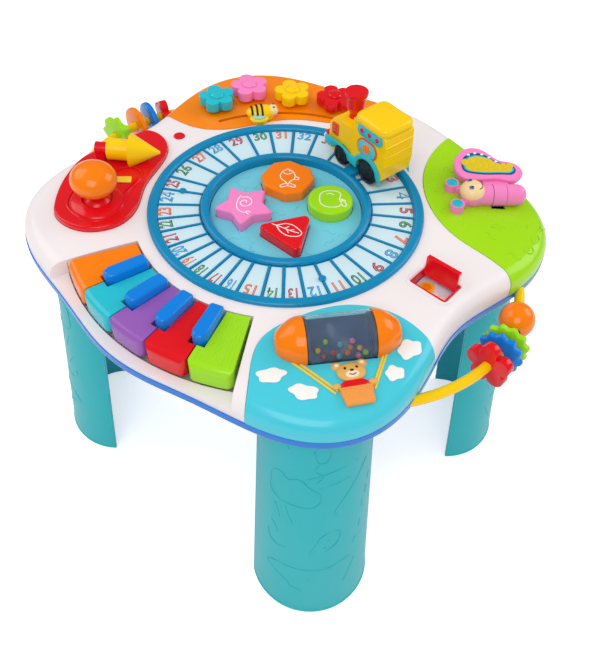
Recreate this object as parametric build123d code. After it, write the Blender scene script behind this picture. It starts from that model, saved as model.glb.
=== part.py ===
"""Musical activity table: a four-legged toy table with a train track, a piano and corner toys.

Frame: millimetres, +Z up, the floor at Z 0 under the middle of the table. The piano faces -Y.
Heights named *_H are measured from the deck, the flat white top beside the number track.
"""

from build123d import *
import os
from math import cos, hypot, pi, radians, sin, sqrt

os.makedirs("parts", exist_ok=True)

# Table top
DECK_Z = 319.0            # deck above the floor
DECK_FLAT_R = 128.0       # the deck is flat as far as this
CROWN_R = 800.0           # and falls away outside it along this radius
EDGE_R = 14.0             # rounding where the top turns down
SEAM_H = -25.0            # lower edge of the top shell
WALL = 2.5                # moulded wall
OUTLINE_MEAN = 217.0      # mean radius of the outline
OUTLINE_WAVES = {2: -0.8, 4: -18.7, 6: -8.5, 8: 1.3}
OUTLINE_POINTS = 48
SKIN_REACH = 270.0        # beyond every corner

# Base
RIM_H = -34.0             # underside of the blue rim
RIM_GROW = 1.0            # rim stands proud of the top shell
RIM_WALL = 2.6
PAN_INSET = 12.0          # pan wall inside the outline
FLOOR_H = -48.0           # underside of the pan
PAN_WALL = 2.4

# Legs
LEG_R = 48.0              # outer radius of the half pipe under the rim
LEG_FLARE = 10.5          # wider at the floor
LEG_WALL = 3.0
LEG_TOP_R = 172.0         # centre of the half pipe under the rim
LEG_SPLAY = 19.0          # further out at the floor
LEG_GAP = 0.3
LEG_TOP_GAP = 0.3
LUG = (12.0, 9.0, 12.0)   # lug at each edge of a leg: radial, tangential, high
LEG_ANGLE = 40.0          # of each leg from the X axis
CORNERS = {"front_right_leg": -LEG_ANGLE, "back_right_leg": LEG_ANGLE,
           "back_left_leg": 180 - LEG_ANGLE, "front_left_leg": 180 + LEG_ANGLE}

# Covers
COVER_GAP = 0.4
COVER_LIFT = 0.6
GEAR_LIFT = 5.0
GEAR_LOW_H = -14.0
GEAR_ROUND = 2.0

# Track
TRACK_IN_R = 77.8
TRACK_OUT_R = 116.0
RIM_OUT_R = 125.2
RIM_TOP_H = 3.6
WELL_R = 122.0
WELL_FLOOR_H = -16.0
DISC_LEDGE = 3.0          # ledge of the well floor under the disc's skirt
TRACK_FLOOR_H = -0.4
TRACK_FLOOR = 2.6
RIB_ANGLES = (165.1, 151.0, 139.3, 127.5, 115.8, 101.0, 86.2, 71.4, 56.6, 44.7, 34.3, 24.5, 12.8,
              2.5, -9.5, -19.8, -30.5, -40.8, -49.8, -58.6, -69.3, -77.0, -85.0, -93.3, -101.1,
              -109.9, -120.3, -129.0, -138.9, -150.1, -159.4, -173.6, -184.4)
RIB_W = 1.7
RIB_H = 1.0
STOP_R = 97.0
STOP_ANGLES = (-150.1, -30.5)
STOP_SIZE = 3.2

# Carrier ring and centre disc
CARRIER_GAP = 0.4
CARRIER_W = 8.0
CARRIER_TOP_H = 4.0
CARRIER_FLANGE = 6.6
DISC_H = -4.5
DISC_T = 2.4
DISC_WALL = 2.4

# Shape buttons
BUTTON_TOP_H = 5.5
BUTTON_LOW_H = -19.5
BUTTON_GAP = 0.5
BUTTON_TRAVEL = 3.5
BUTTON_FLANGE = 1.6
BUTTON_EDGE = 2.2
PAD_GAP = 0.4
SHAPES = {"octagon_button": (-23.2, 28.6), "round_button": (26.8, 30.6),
          "star_button": (-26.3, -27.0), "triangle_button": (26.3, -26.6)}
STAR_TIP_R, STAR_DIP_R, STAR_TURN = 28.5, 16.6, -54.0
TRIANGLE_R, TRIANGLE_TURN = 30.0, -31.0
OCTAGON_W, OCTAGON_CORNER, OCTAGON_TURN = 45.5, 11.5, 10.0
ROUND_R = 20.7

# Piano
KEYS = ("orange_key", "teal_key", "purple_key", "red_key", "green_key")
KEY_START = -116.8
KEY_PITCH = 11.35
KEY_BACK_R = 139.0
KEY_FRONT_R = 199.0
KEY_TOP_H = 0.5
KEY_LOW_H = -18.5
KEY_WALL = 1.8
KEY_GAP_DEG = 0.2
KEY_NOSE = 6.0
BLUE_W = 13.5
BLUE_TOP_H = 9.0
BLUE_LOW_H = -13.5
BLUE_FRONT_R = 178.0
BLUE_CLEAR = 0.6
BLUE_FRONT_CLEAR = 1.3
BLUE_NOSE = 4.5
PIVOT_R = 143.8
PIVOT_H = -16.0
PIN_R = 1.5
PIN_RUN = 0.06
BARREL_R = 3.2
BARREL_HALF = 2.4
EAR_IN, EAR_OUT = 2.7, 4.5
RECESS_BACK_R = 137.0
RECESS_FRONT_R = 199.8
RECESS_SIDE_DEG = 1.4
APRON_H = -19.5
CHEEK_LAP = 0.6           # end walls of the apron reach back over its edge
TRAY_FLOOR_H = RIM_H + RIM_WALL + 0.1
TRAY_WALL = 2.0

# Balloon
BALLOON = (135.0, -92.0, 1.5)
BALLOON_TURN = 50.0
DRUM_R = 20.5
DRUM_L = 54.0
DRUM_WALL = 1.6
DRUM_GAP = 0.8
CAP_L = 23.0
DRUM_PIN_R = 2.5
DRUM_PIN_L = 3.5
DRUM_BEAD_R = 2.6
DRUM_BOSS_R = 4.5
DRUM_BOSS_L = 6.0
EGG_TIP_R = 1.2
BAFFLE_T = 1.4
BASKET = (182.0, -124.0)
BASKET_TURN = 50.0

# Butterfly
BUTTERFLY = (137.0, 140.0, 5.0)
BUTTERFLY_TURN = 43.0
BODY_R = 10.0
ROLLER_W = 12.0
ROLLER_GAP = 0.5
ROLLER_PIN_R = 2.0
WING_TILT = 16.0
WING_T = 6.0
WING_HINGE_Y = 13.8
WING_BARREL_R = 2.6
WING_BARREL_L = 24.0
WING_PIN_R = 1.2
WING_EAR = (2.4, 6.8, 1.5)  # thickness, reach to the pin's axis, radius round the pin
WING_POINTS = [(22, 18), (27, 27), (20, 36), (6, 40), (-6, 50), (-20, 54), (-33, 46), (-37, 32),
               (-32, 21), (-12, 17.5), (6, 17.5)]

# Peekaboo window
PEEK_X = (139.0, 175.0)
PEEK_Y = (-2.0, 22.6)
PEEK_LOW_H = -14.0
PEEK_WALL = 1.6
LID_T = 2.0
LID_BARREL_R = 2.2
LID_PIN_R = 1.0
LID_Y = 18.4
LID_H = -2.8
LID_GAP = 0.4

# Gear panel
LEVER = (-127.0, -112.0, -4.0)
DOME_R = 16.0
DOME_LOW = -3.0
LEVER_EAR_X = 9.5
LEVER_PIN_R = 2.0
STALK_R = 5.0
STALK_L = 8.0
KNOB_SIZE = (21.0, 20.5, 15.0)
KNOB_SOCKET = 5.5
ROCKET_TAIL = (-176.0, -71.0)
ROCKET_TURN = 35.5
ROCKET_H = 15.5
ROCKET_R = 16.0
ROCKET_COLLAR_R = 10.0
ROCKET_STEP_X = 33.5
ROCKET_PIN_R = 2.0

# Garden panel
FLOWERS = {"teal_flower": (-158.0, 72.0), "pink_flower": (-146.0, 108.0),
           "yellow_flower": (-106.0, 130.0), "red_flower": (-68.0, 152.0)}
FLOWER_R = 16.5
FLOWER_TOP_H = 12.0
FLOWER_TRAVEL = 3.0
FLOWER_GAP = 1.6
FLOWER_FLANGE_GAP = 0.85
PETALS = 5
BEE_R = 140.5
BEE_GAP = 0.55
GROOVE_R = 147.5
BEE_ANGLE = 141.0
GROOVE = (107.0, 159.0)
GROOVE_W = 4.0

# Bead bars
BAR_END = (205.0, 79.0)
BAR_BOW_X = 229.0
BAR_TUBE_R = 4.6
BAR_H = -29.5
BAR_INSERT_DEG = 3.0
BEAD_BORE_GAP = 0.4
BALL_SIZE = (15.5, 16.5, 15.5)

# Small pieces
LENS = (-149.0, 9.0)
LENS_R = 5.5
LENS_COLLAR = 1.5
LENS_SEAT = 0.7           # collar under the crowned shell
SCREW_R = 1.5
SCREW_HEAD_R = 3.0
BOSS_R = 5.0
BOSS_JOINT_H = -24.0
SCREW_SEAT_H = -36.0
SCREW_TIP_H = -17.5
SCREWS = [(71.0, 71.0), (-71.0, 71.0), (-71.0, -71.0), (71.0, -71.0),
          (176.0, 37.0), (175.0, -28.0), (20.0, 187.0), (-171.0, 11.0), (-110.0, -166.0)]
BOARD_R = 55.0
BOARD_T = 1.6
BOARD_H = -30.0
SPEAKER = (-100.0, -18.0)
SPEAKER_R = 26.0
BAY = (0.0, 106.0)
BAY_SIZE = (57.0, 48.0)
BAY_TOP_H = -28.0
CELL_R = 7.1
CELL_L = 50.5
SWITCH = (-62.0, 120.0)
SWITCH_TRAVEL = 3.0
SWITCH_W = 8.0

UP = (Align.CENTER, Align.CENTER, Align.MIN)


def up(height):
    """Height above the floor of a height given from the deck."""
    return DECK_Z + height


def polar(radius, angle):
    """Plan point at a radius and an angle about the table's middle."""
    return (radius * cos(radians(angle)), radius * sin(radians(angle)))


def rod(radius, low, high, x=0.0, y=0.0):
    """Upright cylinder between two deck heights."""
    return Pos(x, y, up(low)) * Cylinder(radius, high - low, align=UP)


def ring(outer, inner, low, high, x=0.0, y=0.0):
    """Upright ring between two deck heights."""
    return rod(outer, low, high, x, y) - rod(inner, low - 1, high + 1, x, y)


def block(x_span, y_span, low, high):
    """Upright block between two deck heights."""
    wide, deep = x_span[1] - x_span[0], y_span[1] - y_span[0]
    place = Pos((x_span[0] + x_span[1]) / 2, (y_span[0] + y_span[1]) / 2, up(low))
    return place * Box(wide, deep, high - low, align=UP)


def prism(face, low, high):
    """A plan face extruded between two deck heights."""
    return extrude(Plane.XY.offset(up(low)) * face, amount=high - low)


def sector(inner, outer, start, end, low, high):
    """Upright block between two radii and two angles about the table's middle."""
    reach = 2 * outer
    wedge = make_face(Polyline((0, 0), polar(reach, start), polar(reach, (start + end) / 2),
                               polar(reach, end), (0, 0)))
    return prism((Circle(outer) - Circle(inner)) & wedge, low, high)


def save(name, *shapes):
    """Writes one sub-part, as one solid or as a group of separate solids."""
    solids = [solid for shape in shapes for solid in shape.solids()]
    export_step(solids[0] if len(solids) == 1 else Compound(solids), f"parts/{name}.step")


# ---------------------------------------------------------------- table skin

def outline_point(step, grow):
    """One point of the table's outline, moved outwards by grow along its normal."""
    turn = 2 * pi * step / OUTLINE_POINTS
    radius = OUTLINE_MEAN + sum(size * cos(n * turn) for n, size in OUTLINE_WAVES.items())
    slope = -sum(n * size * sin(n * turn) for n, size in OUTLINE_WAVES.items())
    normal_x = radius * cos(turn) + slope * sin(turn)
    normal_y = radius * sin(turn) - slope * cos(turn)
    share = grow / hypot(normal_x, normal_y)
    return (radius * cos(turn) + share * normal_x, radius * sin(turn) + share * normal_y)


def closed_face(points):
    """Face inside a smooth closed curve, its edge in four lengths."""
    edge = Spline(*points, periodic=True)
    return make_face([edge.trim(start, start + 0.25) for start in (0.0, 0.25, 0.5, 0.75)])


def table_outline(grow):
    """Plan face of the table, moved outwards by grow."""
    return closed_face([outline_point(step, grow) for step in range(OUTLINE_POINTS)])


def crown_drop(radius):
    """How far the crowned deck has fallen at a radius."""
    reach = max(radius - DECK_FLAT_R, 0.0)
    return CROWN_R - sqrt(CROWN_R ** 2 - reach ** 2)


def crown(lift, low):
    """Round solid under the crowned deck, which is lifted by lift."""
    middle = (DECK_FLAT_R + SKIN_REACH) / 2
    top = up(lift)
    sides = Polyline((DECK_FLAT_R, top), (0, top), (0, up(low)), (SKIN_REACH, up(low)),
                     (SKIN_REACH, top - crown_drop(SKIN_REACH)))
    arc = ThreePointArc((SKIN_REACH, top - crown_drop(SKIN_REACH)),
                        (middle, top - crown_drop(middle)), (DECK_FLAT_R, top))
    return revolve(Plane.XZ * make_face(sides + arc), Axis.Z)


def table_skin(grow, lift, low=SEAM_H):
    """Solid bounded by the table's outer surface, moved out by grow and up by lift."""
    body = prism(table_outline(grow), low, lift + 1) & crown(lift, low - 1)
    turned = [edge for edge in body.edges()
              if hypot(edge.position_at(0.5).X, edge.position_at(0.5).Y) > DECK_FLAT_R + 20
              and edge.position_at(0.5).Z > up(SEAM_H / 2)]
    return fillet(turned, EDGE_R + lift)


OUTER = table_skin(0, 0)
INNER = table_skin(-WALL, -WALL, SEAM_H - 1)
PROUD = table_skin(COVER_LIFT, COVER_LIFT)
COVER_SKIN = PROUD - INNER


# ---------------------------------------------------------------- corner regions

def grown(points, grow, closed=False):
    """Points moved away from the region that lies on their right hand."""
    moved = []
    count = len(points)
    for index, (x, y) in enumerate(points):
        before = points[index - 1] if closed or index else points[index]
        after = points[(index + 1) % count] if closed or index < count - 1 else points[index]
        along_x_way, along_y_way = after[0] - before[0], after[1] - before[1]
        share = grow / hypot(along_x_way, along_y_way)
        moved.append((x - share * along_y_way, y + share * along_x_way))
    return moved


def corner_region(name, grow=0.0):
    """Plan face of a corner cover: a curve across the deck and lines beyond the outline."""
    edge, outside = CORNER_EDGES[name]
    edge = grown(edge, grow)
    return make_face(Spline(*edge) + Polyline(edge[-1], *outside, edge[0]))


def gear_region(grow=0.0):
    """Plan face of the raised gear panel."""
    return closed_face(grown(GEAR_EDGE_POINTS, grow, closed=True))


CORNER_EDGES = {
    "sky": ([(133, -212), (110, -167), (90, -132), (97, -93), (116, -60), (152, -40),
             (190, -43), (226, -66)], [(280, -100), (280, -280), (150, -280)]),
    "meadow": ([(232, 44), (205, 63), (180, 69), (140, 71), (99, 88), (68, 120),
                (52, 160), (49, 215)], [(60, 280), (280, 280), (280, 60)]),
    "garden": ([(-16, 226), (-22, 176), (-46, 134), (-78, 113), (-100, 88), (-116, 58),
                (-142, 33), (-174, 27), (-222, 33)], [(-280, 60), (-280, 280), (-30, 280)])}
GEAR_EDGE_POINTS = [(-153, -142), (-180, -108), (-195, -62), (-192, -24), (-172, -6),
                    (-146, -10), (-127, -36), (-114, -68), (-96, -94), (-91, -117),
                    (-103, -139), (-129, -149)]


def cover(region, *openings):
    """Thin corner cover that follows the table's surface, just proud of it."""
    return prism(region, SEAM_H, COVER_LIFT + 1).cut(*openings) & COVER_SKIN


# ---------------------------------------------------------------- structure

def piano_span():
    """First and last angle of the piano recess."""
    return (KEY_START - RECESS_SIDE_DEG, KEY_START + len(KEYS) * KEY_PITCH + RECESS_SIDE_DEG / 2)


def disc_edge():
    """Radius of the sunken centre disc, inside the carrier ring."""
    return TRACK_IN_R - 2 * CARRIER_GAP - CARRIER_W


def top_openings():
    """Everything cut out of the white shell's skin."""
    start, end = piano_span()
    regions = [corner_region(name, COVER_GAP) for name in CORNER_EDGES] + [gear_region(COVER_GAP)]
    tools = [prism(region, SEAM_H - 1, COVER_LIFT + 5) for region in regions]
    tools.append(rod(WELL_R, SEAM_H, RIM_TOP_H))
    tools.append(sector(RECESS_BACK_R, RECESS_FRONT_R, start, end, SEAM_H, RIM_TOP_H))
    tools.append(sector(RECESS_FRONT_R - 1, SKIN_REACH, start, end, APRON_H, RIM_TOP_H))
    tools.append(block(PEEK_X, PEEK_Y, SEAM_H, RIM_TOP_H))
    tools.append(rod(LENS_R + COVER_GAP / 2, SEAM_H, RIM_TOP_H, *LENS))
    return tools


def top_shell():
    """White shell: openings for the covers, track, piano, window and lens, with its track well."""
    start, end = piano_span()
    shell = (OUTER - INNER).cut(*top_openings())
    apron = sector(RECESS_FRONT_R, SKIN_REACH, start, end, APRON_H - WALL, APRON_H)
    cheek_r, cheek_deg = RECESS_FRONT_R - CHEEK_LAP, WALL / RECESS_FRONT_R * 180 / pi
    apron += sector(cheek_r, SKIN_REACH, start - cheek_deg, start, APRON_H - WALL, RIM_TOP_H)
    apron += sector(cheek_r, SKIN_REACH, end, end + cheek_deg, APRON_H - WALL, RIM_TOP_H)
    posts = []
    for x, y in SCREWS:
        if hypot(x, y) < WELL_R:
            posts.append(rod(BOSS_R, BOSS_JOINT_H, WELL_FLOOR_H + 1, x, y))
        else:
            posts.append(rod(BOSS_R, BOSS_JOINT_H, 0, x, y) & OUTER)
    hole_r = disc_edge() - DISC_LEDGE
    shell = shell.fuse(apron & OUTER, ring(WELL_R + WALL, WELL_R, WELL_FLOOR_H, -WALL / 2),
                       ring(WELL_R + WALL, hole_r, WELL_FLOOR_H, WELL_FLOOR_H + PAN_WALL),
                       *posts)
    return shell.cut(*[rod(SCREW_R, BOSS_JOINT_H - 1, SCREW_TIP_H, x, y) for x, y in SCREWS])


def leg_share(height):
    """Share of the flare and splay that a leg has at a height above the floor."""
    return 1 - height / up(RIM_H)


def leg_section(inside, outside, height):
    """Half ring across a leg, with room added inside its wall and outside it."""
    radius = LEG_R + LEG_FLARE * leg_share(height)
    outer = radius + outside
    whole = Circle(outer) - Circle(radius - LEG_WALL - inside)
    half = whole & Pos(outer, 0) * Rectangle(2 * outer, 2 * outer)
    centre_r = LEG_TOP_R + LEG_SPLAY * leg_share(height)
    return Plane.XY.offset(height) * Pos(centre_r, 0) * half


def leg_half(inside, outside, low, high):
    """Half pipe between two heights that widens and leans outwards as it goes down."""
    return loft([leg_section(inside, outside, low), leg_section(inside, outside, high)],
                ruled=True)


def leg(angle):
    """One leg: half pipe with a lug at each edge that stops against the pan."""
    body = leg_half(0, 0, 0, up(RIM_H) - LEG_TOP_GAP)
    radial, tangential, high = LUG
    low = up(FLOOR_H) - LEG_TOP_GAP - high
    edge = LEG_R + LEG_FLARE * leg_share(low) - LEG_WALL
    for side in (-1, 1):
        lug = Box(radial, tangential, high, align=(Align.MIN, Align.CENTER, Align.MIN))
        body += Pos(LEG_TOP_R + 2, side * (edge + tangential / 2), low) * lug
    return Rot(0, 0, angle) * body


def leg_socket(angle):
    """Walls round a leg's top, inside the pan."""
    room = LEG_GAP + PAN_WALL
    return Rot(0, 0, angle) * leg_half(room, room, up(FLOOR_H), up(RIM_H + RIM_WALL))


def leg_slot(angle):
    """Room for a leg's top in its socket."""
    return Rot(0, 0, angle) * leg_half(LEG_GAP, LEG_GAP, up(FLOOR_H) - 2, up(RIM_H))


def bar_centre_x():
    """Middle of the bead bars' arc, on the X axis."""
    rise = BAR_BOW_X - BAR_END[0]
    return BAR_BOW_X - (BAR_END[1] ** 2 + rise ** 2) / (2 * rise)


def bar_radius():
    """Radius of the bead bars' arc."""
    return BAR_BOW_X - bar_centre_x()


def bar_half_angle():
    """Half the angle of a bar between the rim's faces."""
    return Vector(BAR_END[0] - bar_centre_x(), BAR_END[1]).get_angle(Vector(1, 0))


def bar_tube(radius, half_angle):
    """Arc of round bar on the +X side."""
    section = Plane.XZ * Pos(bar_radius(), 0) * Circle(radius)
    arc = Rot(0, 0, -half_angle) * revolve(section, Axis.Z, 2 * half_angle)
    return Pos(bar_centre_x(), 0, up(BAR_H)) * arc


def base_shell():
    """Blue base: rim, pan, leg sockets, battery bay, screw bosses and speaker grille."""
    rim = prism(table_outline(RIM_GROW), RIM_H, SEAM_H)
    lower = [edge for edge in rim.edges() if edge.position_at(0.5).Z < up(RIM_H) + 0.01]
    rim = fillet(lower, 3.0)
    rim -= prism(table_outline(RIM_GROW - RIM_WALL), RIM_H + RIM_WALL, SEAM_H + 1)
    pan_face = table_outline(-PAN_INSET)
    shell = rim + prism(pan_face, FLOOR_H, RIM_H + RIM_WALL)
    shell -= prism(table_outline(-PAN_INSET - PAN_WALL), FLOOR_H + PAN_WALL, SEAM_H)
    shell = shell.fuse(*[leg_socket(angle) for angle in CORNERS.values()])
    hole = bar_tube(BAR_TUBE_R + 0.1, bar_half_angle() + BAR_INSERT_DEG)
    return fittings(shell, [leg_slot(angle) for angle in CORNERS.values()]
                    + [hole, Rot(0, 0, 180) * hole])


def bay_block(grow, low, high):
    """Block the size of the battery bay, grown sideways."""
    x, y = BAY
    wide, deep = BAY_SIZE
    return block((x - wide / 2 - grow, x + wide / 2 + grow),
                 (y - deep / 2 - grow, y + deep / 2 + grow), low, high)


def grille():
    """Slots in the floor below the speaker."""
    slots = []
    for row in range(-2, 3):
        reach = sqrt((SPEAKER_R - 8) ** 2 - (row * 7) ** 2)
        middle = SPEAKER[1] + row * 7
        slots.append(block((SPEAKER[0] - reach, SPEAKER[0] + reach), (middle - 1, middle + 1),
                           FLOOR_H - 1, FLOOR_H + PAN_WALL + 1))
    return slots


def fittings(shell, tools):
    """Adds the bay, bosses, posts and speaker seat, then cuts tools and every hole."""
    posts = [rod(BOSS_R, FLOOR_H, BOSS_JOINT_H, x, y) for x, y in SCREWS]
    posts += [rod(3.0, FLOOR_H + 1, BOARD_H, *polar(BOARD_R - 6, angle))
              for angle in (20, 110, 200, 290)]
    posts.append(bay_block(PAN_WALL, FLOOR_H, BAY_TOP_H))
    posts.append(ring(SPEAKER_R + 2.3, SPEAKER_R + 0.3, FLOOR_H + 1, FLOOR_H + 8, *SPEAKER))
    holes = tools + grille() + [bay_block(0, FLOOR_H - 1, BAY_TOP_H - PAN_WALL)]
    holes += [rod(SCREW_HEAD_R + 0.4, FLOOR_H - 1, SCREW_SEAT_H, x, y) for x, y in SCREWS]
    holes += [rod(SCREW_R + 0.1, FLOOR_H, BOSS_JOINT_H + 1, x, y) for x, y in SCREWS]
    slot = SWITCH_W / 2 + SWITCH_TRAVEL + 0.5
    holes.append(block((SWITCH[0] - slot, SWITCH[0] + slot), (SWITCH[1] - 2.8, SWITCH[1] + 2.8),
                       FLOOR_H - 1, FLOOR_H + PAN_WALL + 1))
    return shell.fuse(*posts).cut(*holes)


# ---------------------------------------------------------------- track and middle

def track_tray():
    """Blue track: outer rim, floor, wall down to the well and a rib between each two plates."""
    rim = ring(RIM_OUT_R, TRACK_OUT_R, 0, RIM_TOP_H)
    rim = fillet(rim.faces().sort_by(Axis.Z)[-1].edges(), 3.0)
    floor_low = TRACK_FLOOR_H - TRACK_FLOOR
    tray = rim + ring(WELL_R - COVER_GAP, TRACK_IN_R, floor_low, TRACK_FLOOR_H)
    tray += ring(WELL_R - COVER_GAP, TRACK_OUT_R, TRACK_FLOOR_H - 0.1, 0.1)
    tray += ring(WELL_R - COVER_GAP, WELL_R - COVER_GAP - WALL, WELL_FLOOR_H + PAN_WALL, floor_low)
    rib = Pos((TRACK_IN_R + TRACK_OUT_R) / 2 + 0.5, 0, up(TRACK_FLOOR_H)) * Box(
        TRACK_OUT_R - TRACK_IN_R, RIB_W, RIB_H - TRACK_FLOOR_H, align=UP)
    ribs = [Rot(0, 0, angle) * rib for angle in RIB_ANGLES]
    stops = [rod(STOP_SIZE, TRACK_FLOOR_H, RIB_H + 0.8, *polar(STOP_R, angle))
             for angle in STOP_ANGLES]
    return tray.fuse(*ribs, *stops)


def carrier_ring():
    """Ring that carries the train round, with its flange under the track and its arm."""
    outer = TRACK_IN_R - CARRIER_GAP
    body = ring(outer, outer - CARRIER_W, WELL_FLOOR_H + PAN_WALL + 0.3, CARRIER_TOP_H)
    body = fillet(body.faces().sort_by(Axis.Z)[-1].edges(), 3.2)
    flange_top = TRACK_FLOOR_H - TRACK_FLOOR - CARRIER_GAP
    body += ring(outer + CARRIER_FLANGE, outer - 1, flange_top - WALL, flange_top)
    arm = block((outer - 5, TRAIN_R - 6), (-6, 6), RIB_H + 0.6, CARRIER_TOP_H + 1.5)
    return body + Rot(0, 0, TRAIN_ANGLE) * arm


def centre_disc():
    """Sunken disc with an opening for each shape button."""
    edge = disc_edge()
    disc = rod(edge, DISC_H - DISC_T, DISC_H)
    disc += ring(edge, edge - DISC_WALL, WELL_FLOOR_H + PAN_WALL, DISC_H - DISC_T)
    for name, (x, y) in SHAPES.items():
        hole = offset(shape_face(name), BUTTON_GAP)
        disc -= prism(Pos(x, y) * hole, DISC_H - DISC_T - 1, DISC_H + 1)
    return disc


def star_points():
    """Points of the star button, tip first."""
    return [polar(STAR_TIP_R if step % 2 == 0 else STAR_DIP_R, STAR_TURN + 36 * step)
            for step in range(10)]


def shape_face(name):
    """Plan face of a shape button about its own middle."""
    if name == "star_button":
        star = make_face(Polyline(*star_points(), close=True))
        return fillet(star.vertices(), 2.6)
    if name == "triangle_button":
        corners = [polar(TRIANGLE_R, TRIANGLE_TURN + 120 * step) for step in range(3)]
        triangle = make_face(Polyline(*corners, close=True))
        return fillet(triangle.vertices(), 4.5)
    if name == "octagon_button":
        square = Rot(0, 0, OCTAGON_TURN) * Rectangle(OCTAGON_W, OCTAGON_W)
        return fillet(chamfer(square.vertices(), OCTAGON_CORNER).vertices(), 3.5)
    return Circle(ROUND_R)


def shape_button(name):
    """Button cap with a flange that keeps it in, and a stem down to its pad."""
    x, y = SHAPES[name]
    face = Pos(x, y) * shape_face(name)
    cap = prism(face, BUTTON_LOW_H + 4, BUTTON_TOP_H)
    cap = fillet(cap.faces().sort_by(Axis.Z)[-1].edges(), BUTTON_EDGE)
    flange_top = DISC_H - DISC_T - CARRIER_GAP
    cap += prism(Pos(x, y) * offset(shape_face(name), BUTTON_FLANGE), flange_top - 1.6, flange_top)
    cap -= prism(Pos(x, y) * offset(shape_face(name), -WALL), BUTTON_LOW_H, BUTTON_TOP_H - WALL)
    return cap + rod(3.5, BUTTON_LOW_H, BUTTON_TOP_H - 1, x, y)


def contact_pads():
    """Rubber pads on the board, one under each shape button's stem."""
    low = BOARD_H + BOARD_T
    top = BUTTON_LOW_H - BUTTON_TRAVEL - PAD_GAP
    pads = []
    for x, y in SHAPES.values():
        pad = rod(6.5, low, low + 1.2, x, y) + rod(4.5, low, top, x, y)
        pads.append(pad)
    return pads


def circuit_board():
    """Round board on four posts, with its two chips."""
    board = rod(BOARD_R, BOARD_H, BOARD_H + BOARD_T)
    board += block((-9, 9), (-4, 4), BOARD_H + BOARD_T, BOARD_H + BOARD_T + 2)
    return board + block((-5, 5), (12, 19), BOARD_H + BOARD_T, BOARD_H + BOARD_T + 1.5)


# ---------------------------------------------------------------- piano

def hinge_barrel(top):
    """Barrel round a key's pin with its web up to the key's top, built towards +X."""
    barrel = Pos(PIVOT_R, 0, up(PIVOT_H)) * Rot(90, 0, 0) * Cylinder(BARREL_R, 2 * BARREL_HALF)
    web = block((PIVOT_R - 2, PIVOT_R + 2), (-BARREL_HALF, BARREL_HALF), PIVOT_H, top)
    bore = Pos(PIVOT_R, 0, up(PIVOT_H)) * Rot(90, 0, 0) * Cylinder(PIN_R + PIN_RUN, 20)
    return barrel + web - bore


def blue_notches(grow):
    """Room for the blue keys between the coloured ones."""
    half = BLUE_W / 2 + BLUE_CLEAR + grow
    notch = block((KEY_BACK_R - 5, BLUE_FRONT_R + BLUE_FRONT_CLEAR + grow), (-half, half),
                  KEY_LOW_H - 2, KEY_TOP_H + 2)
    return [Rot(0, 0, KEY_START + KEY_PITCH * step) * notch for step in range(1, len(KEYS))]


def colour_key(index):
    """Hollow key with a rounded nose, notched for the blue keys beside it."""
    start = KEY_START + KEY_PITCH * index + KEY_GAP_DEG
    end = KEY_START + KEY_PITCH * (index + 1) - KEY_GAP_DEG
    body = sector(KEY_BACK_R, KEY_FRONT_R, start, end, KEY_LOW_H, KEY_TOP_H)
    nose = [edge for edge in body.edges()
            if hypot(edge.position_at(0.5).X, edge.position_at(0.5).Y) > KEY_FRONT_R - 0.5
            and edge.position_at(0.5).Z > up(KEY_LOW_H) + 1]
    body = fillet(nose, KEY_NOSE)
    wall_deg = KEY_WALL / KEY_BACK_R * 180 / pi
    room = sector(KEY_BACK_R + KEY_WALL, KEY_FRONT_R - KEY_WALL, start + wall_deg, end - wall_deg,
                  KEY_LOW_H - 1, KEY_TOP_H - KEY_WALL)
    for notch, wide_notch in zip(blue_notches(0), blue_notches(KEY_WALL)):
        body -= notch
        room -= wide_notch
    middle = (start + end) / 2
    return (body - room) + Rot(0, 0, middle) * hinge_barrel(KEY_TOP_H - KEY_WALL / 2)


def blue_key(step):
    """Raised blue key between two coloured ones."""
    body = block((KEY_BACK_R + 1, BLUE_FRONT_R), (-BLUE_W / 2, BLUE_W / 2), BLUE_LOW_H, BLUE_TOP_H)
    front = body.edges().filter_by(Axis.Z).sort_by(Axis.X)[-2:]
    body = fillet(front, BLUE_NOSE)
    body = fillet(body.faces().sort_by(Axis.Z)[-1].edges(), 2.8)
    inside = block((KEY_BACK_R + 1 + KEY_WALL, BLUE_FRONT_R - 8),
                   (-BLUE_W / 2 + KEY_WALL, BLUE_W / 2 - KEY_WALL), BLUE_LOW_H - 1,
                   BLUE_TOP_H - 2 * KEY_WALL)
    body = body - inside + hinge_barrel(BLUE_TOP_H - KEY_WALL)
    return Rot(0, 0, KEY_START + KEY_PITCH * step) * body


def key_frame():
    """White tray under the keys, with a pin between two ears for each key."""
    start, end = piano_span()
    wall_deg = TRAY_WALL / RECESS_BACK_R * 180 / pi
    tray = sector(RECESS_BACK_R - TRAY_WALL, RECESS_FRONT_R + TRAY_WALL, start - wall_deg,
                  end + wall_deg, TRAY_FLOOR_H, 0)
    tray &= table_skin(-WALL - 0.2, -WALL - 0.2, TRAY_FLOOR_H)
    tray -= sector(RECESS_BACK_R, RECESS_FRONT_R, start, end, TRAY_FLOOR_H + TRAY_WALL, 1)
    tray -= sector(RECESS_FRONT_R - 1, SKIN_REACH, start - wall_deg, end + wall_deg,
                   APRON_H - WALL - 0.2, 1)
    ear = block((PIVOT_R - 2.2, PIVOT_R + 2.2), (EAR_IN, EAR_OUT), TRAY_FLOOR_H + 1,
                PIVOT_H + 2.4)
    pin = Pos(PIVOT_R, 0, up(PIVOT_H)) * Rot(90, 0, 0) * Cylinder(PIN_R, EAR_IN + EAR_OUT)
    unit = ear + mirror(ear, Plane.XZ) + pin
    angles = [KEY_START + KEY_PITCH * (step + 0.5) for step in range(len(KEYS))]
    angles += [KEY_START + KEY_PITCH * step for step in range(1, len(KEYS))]
    return tray.fuse(*[Rot(0, 0, angle) * unit for angle in angles])


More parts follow.
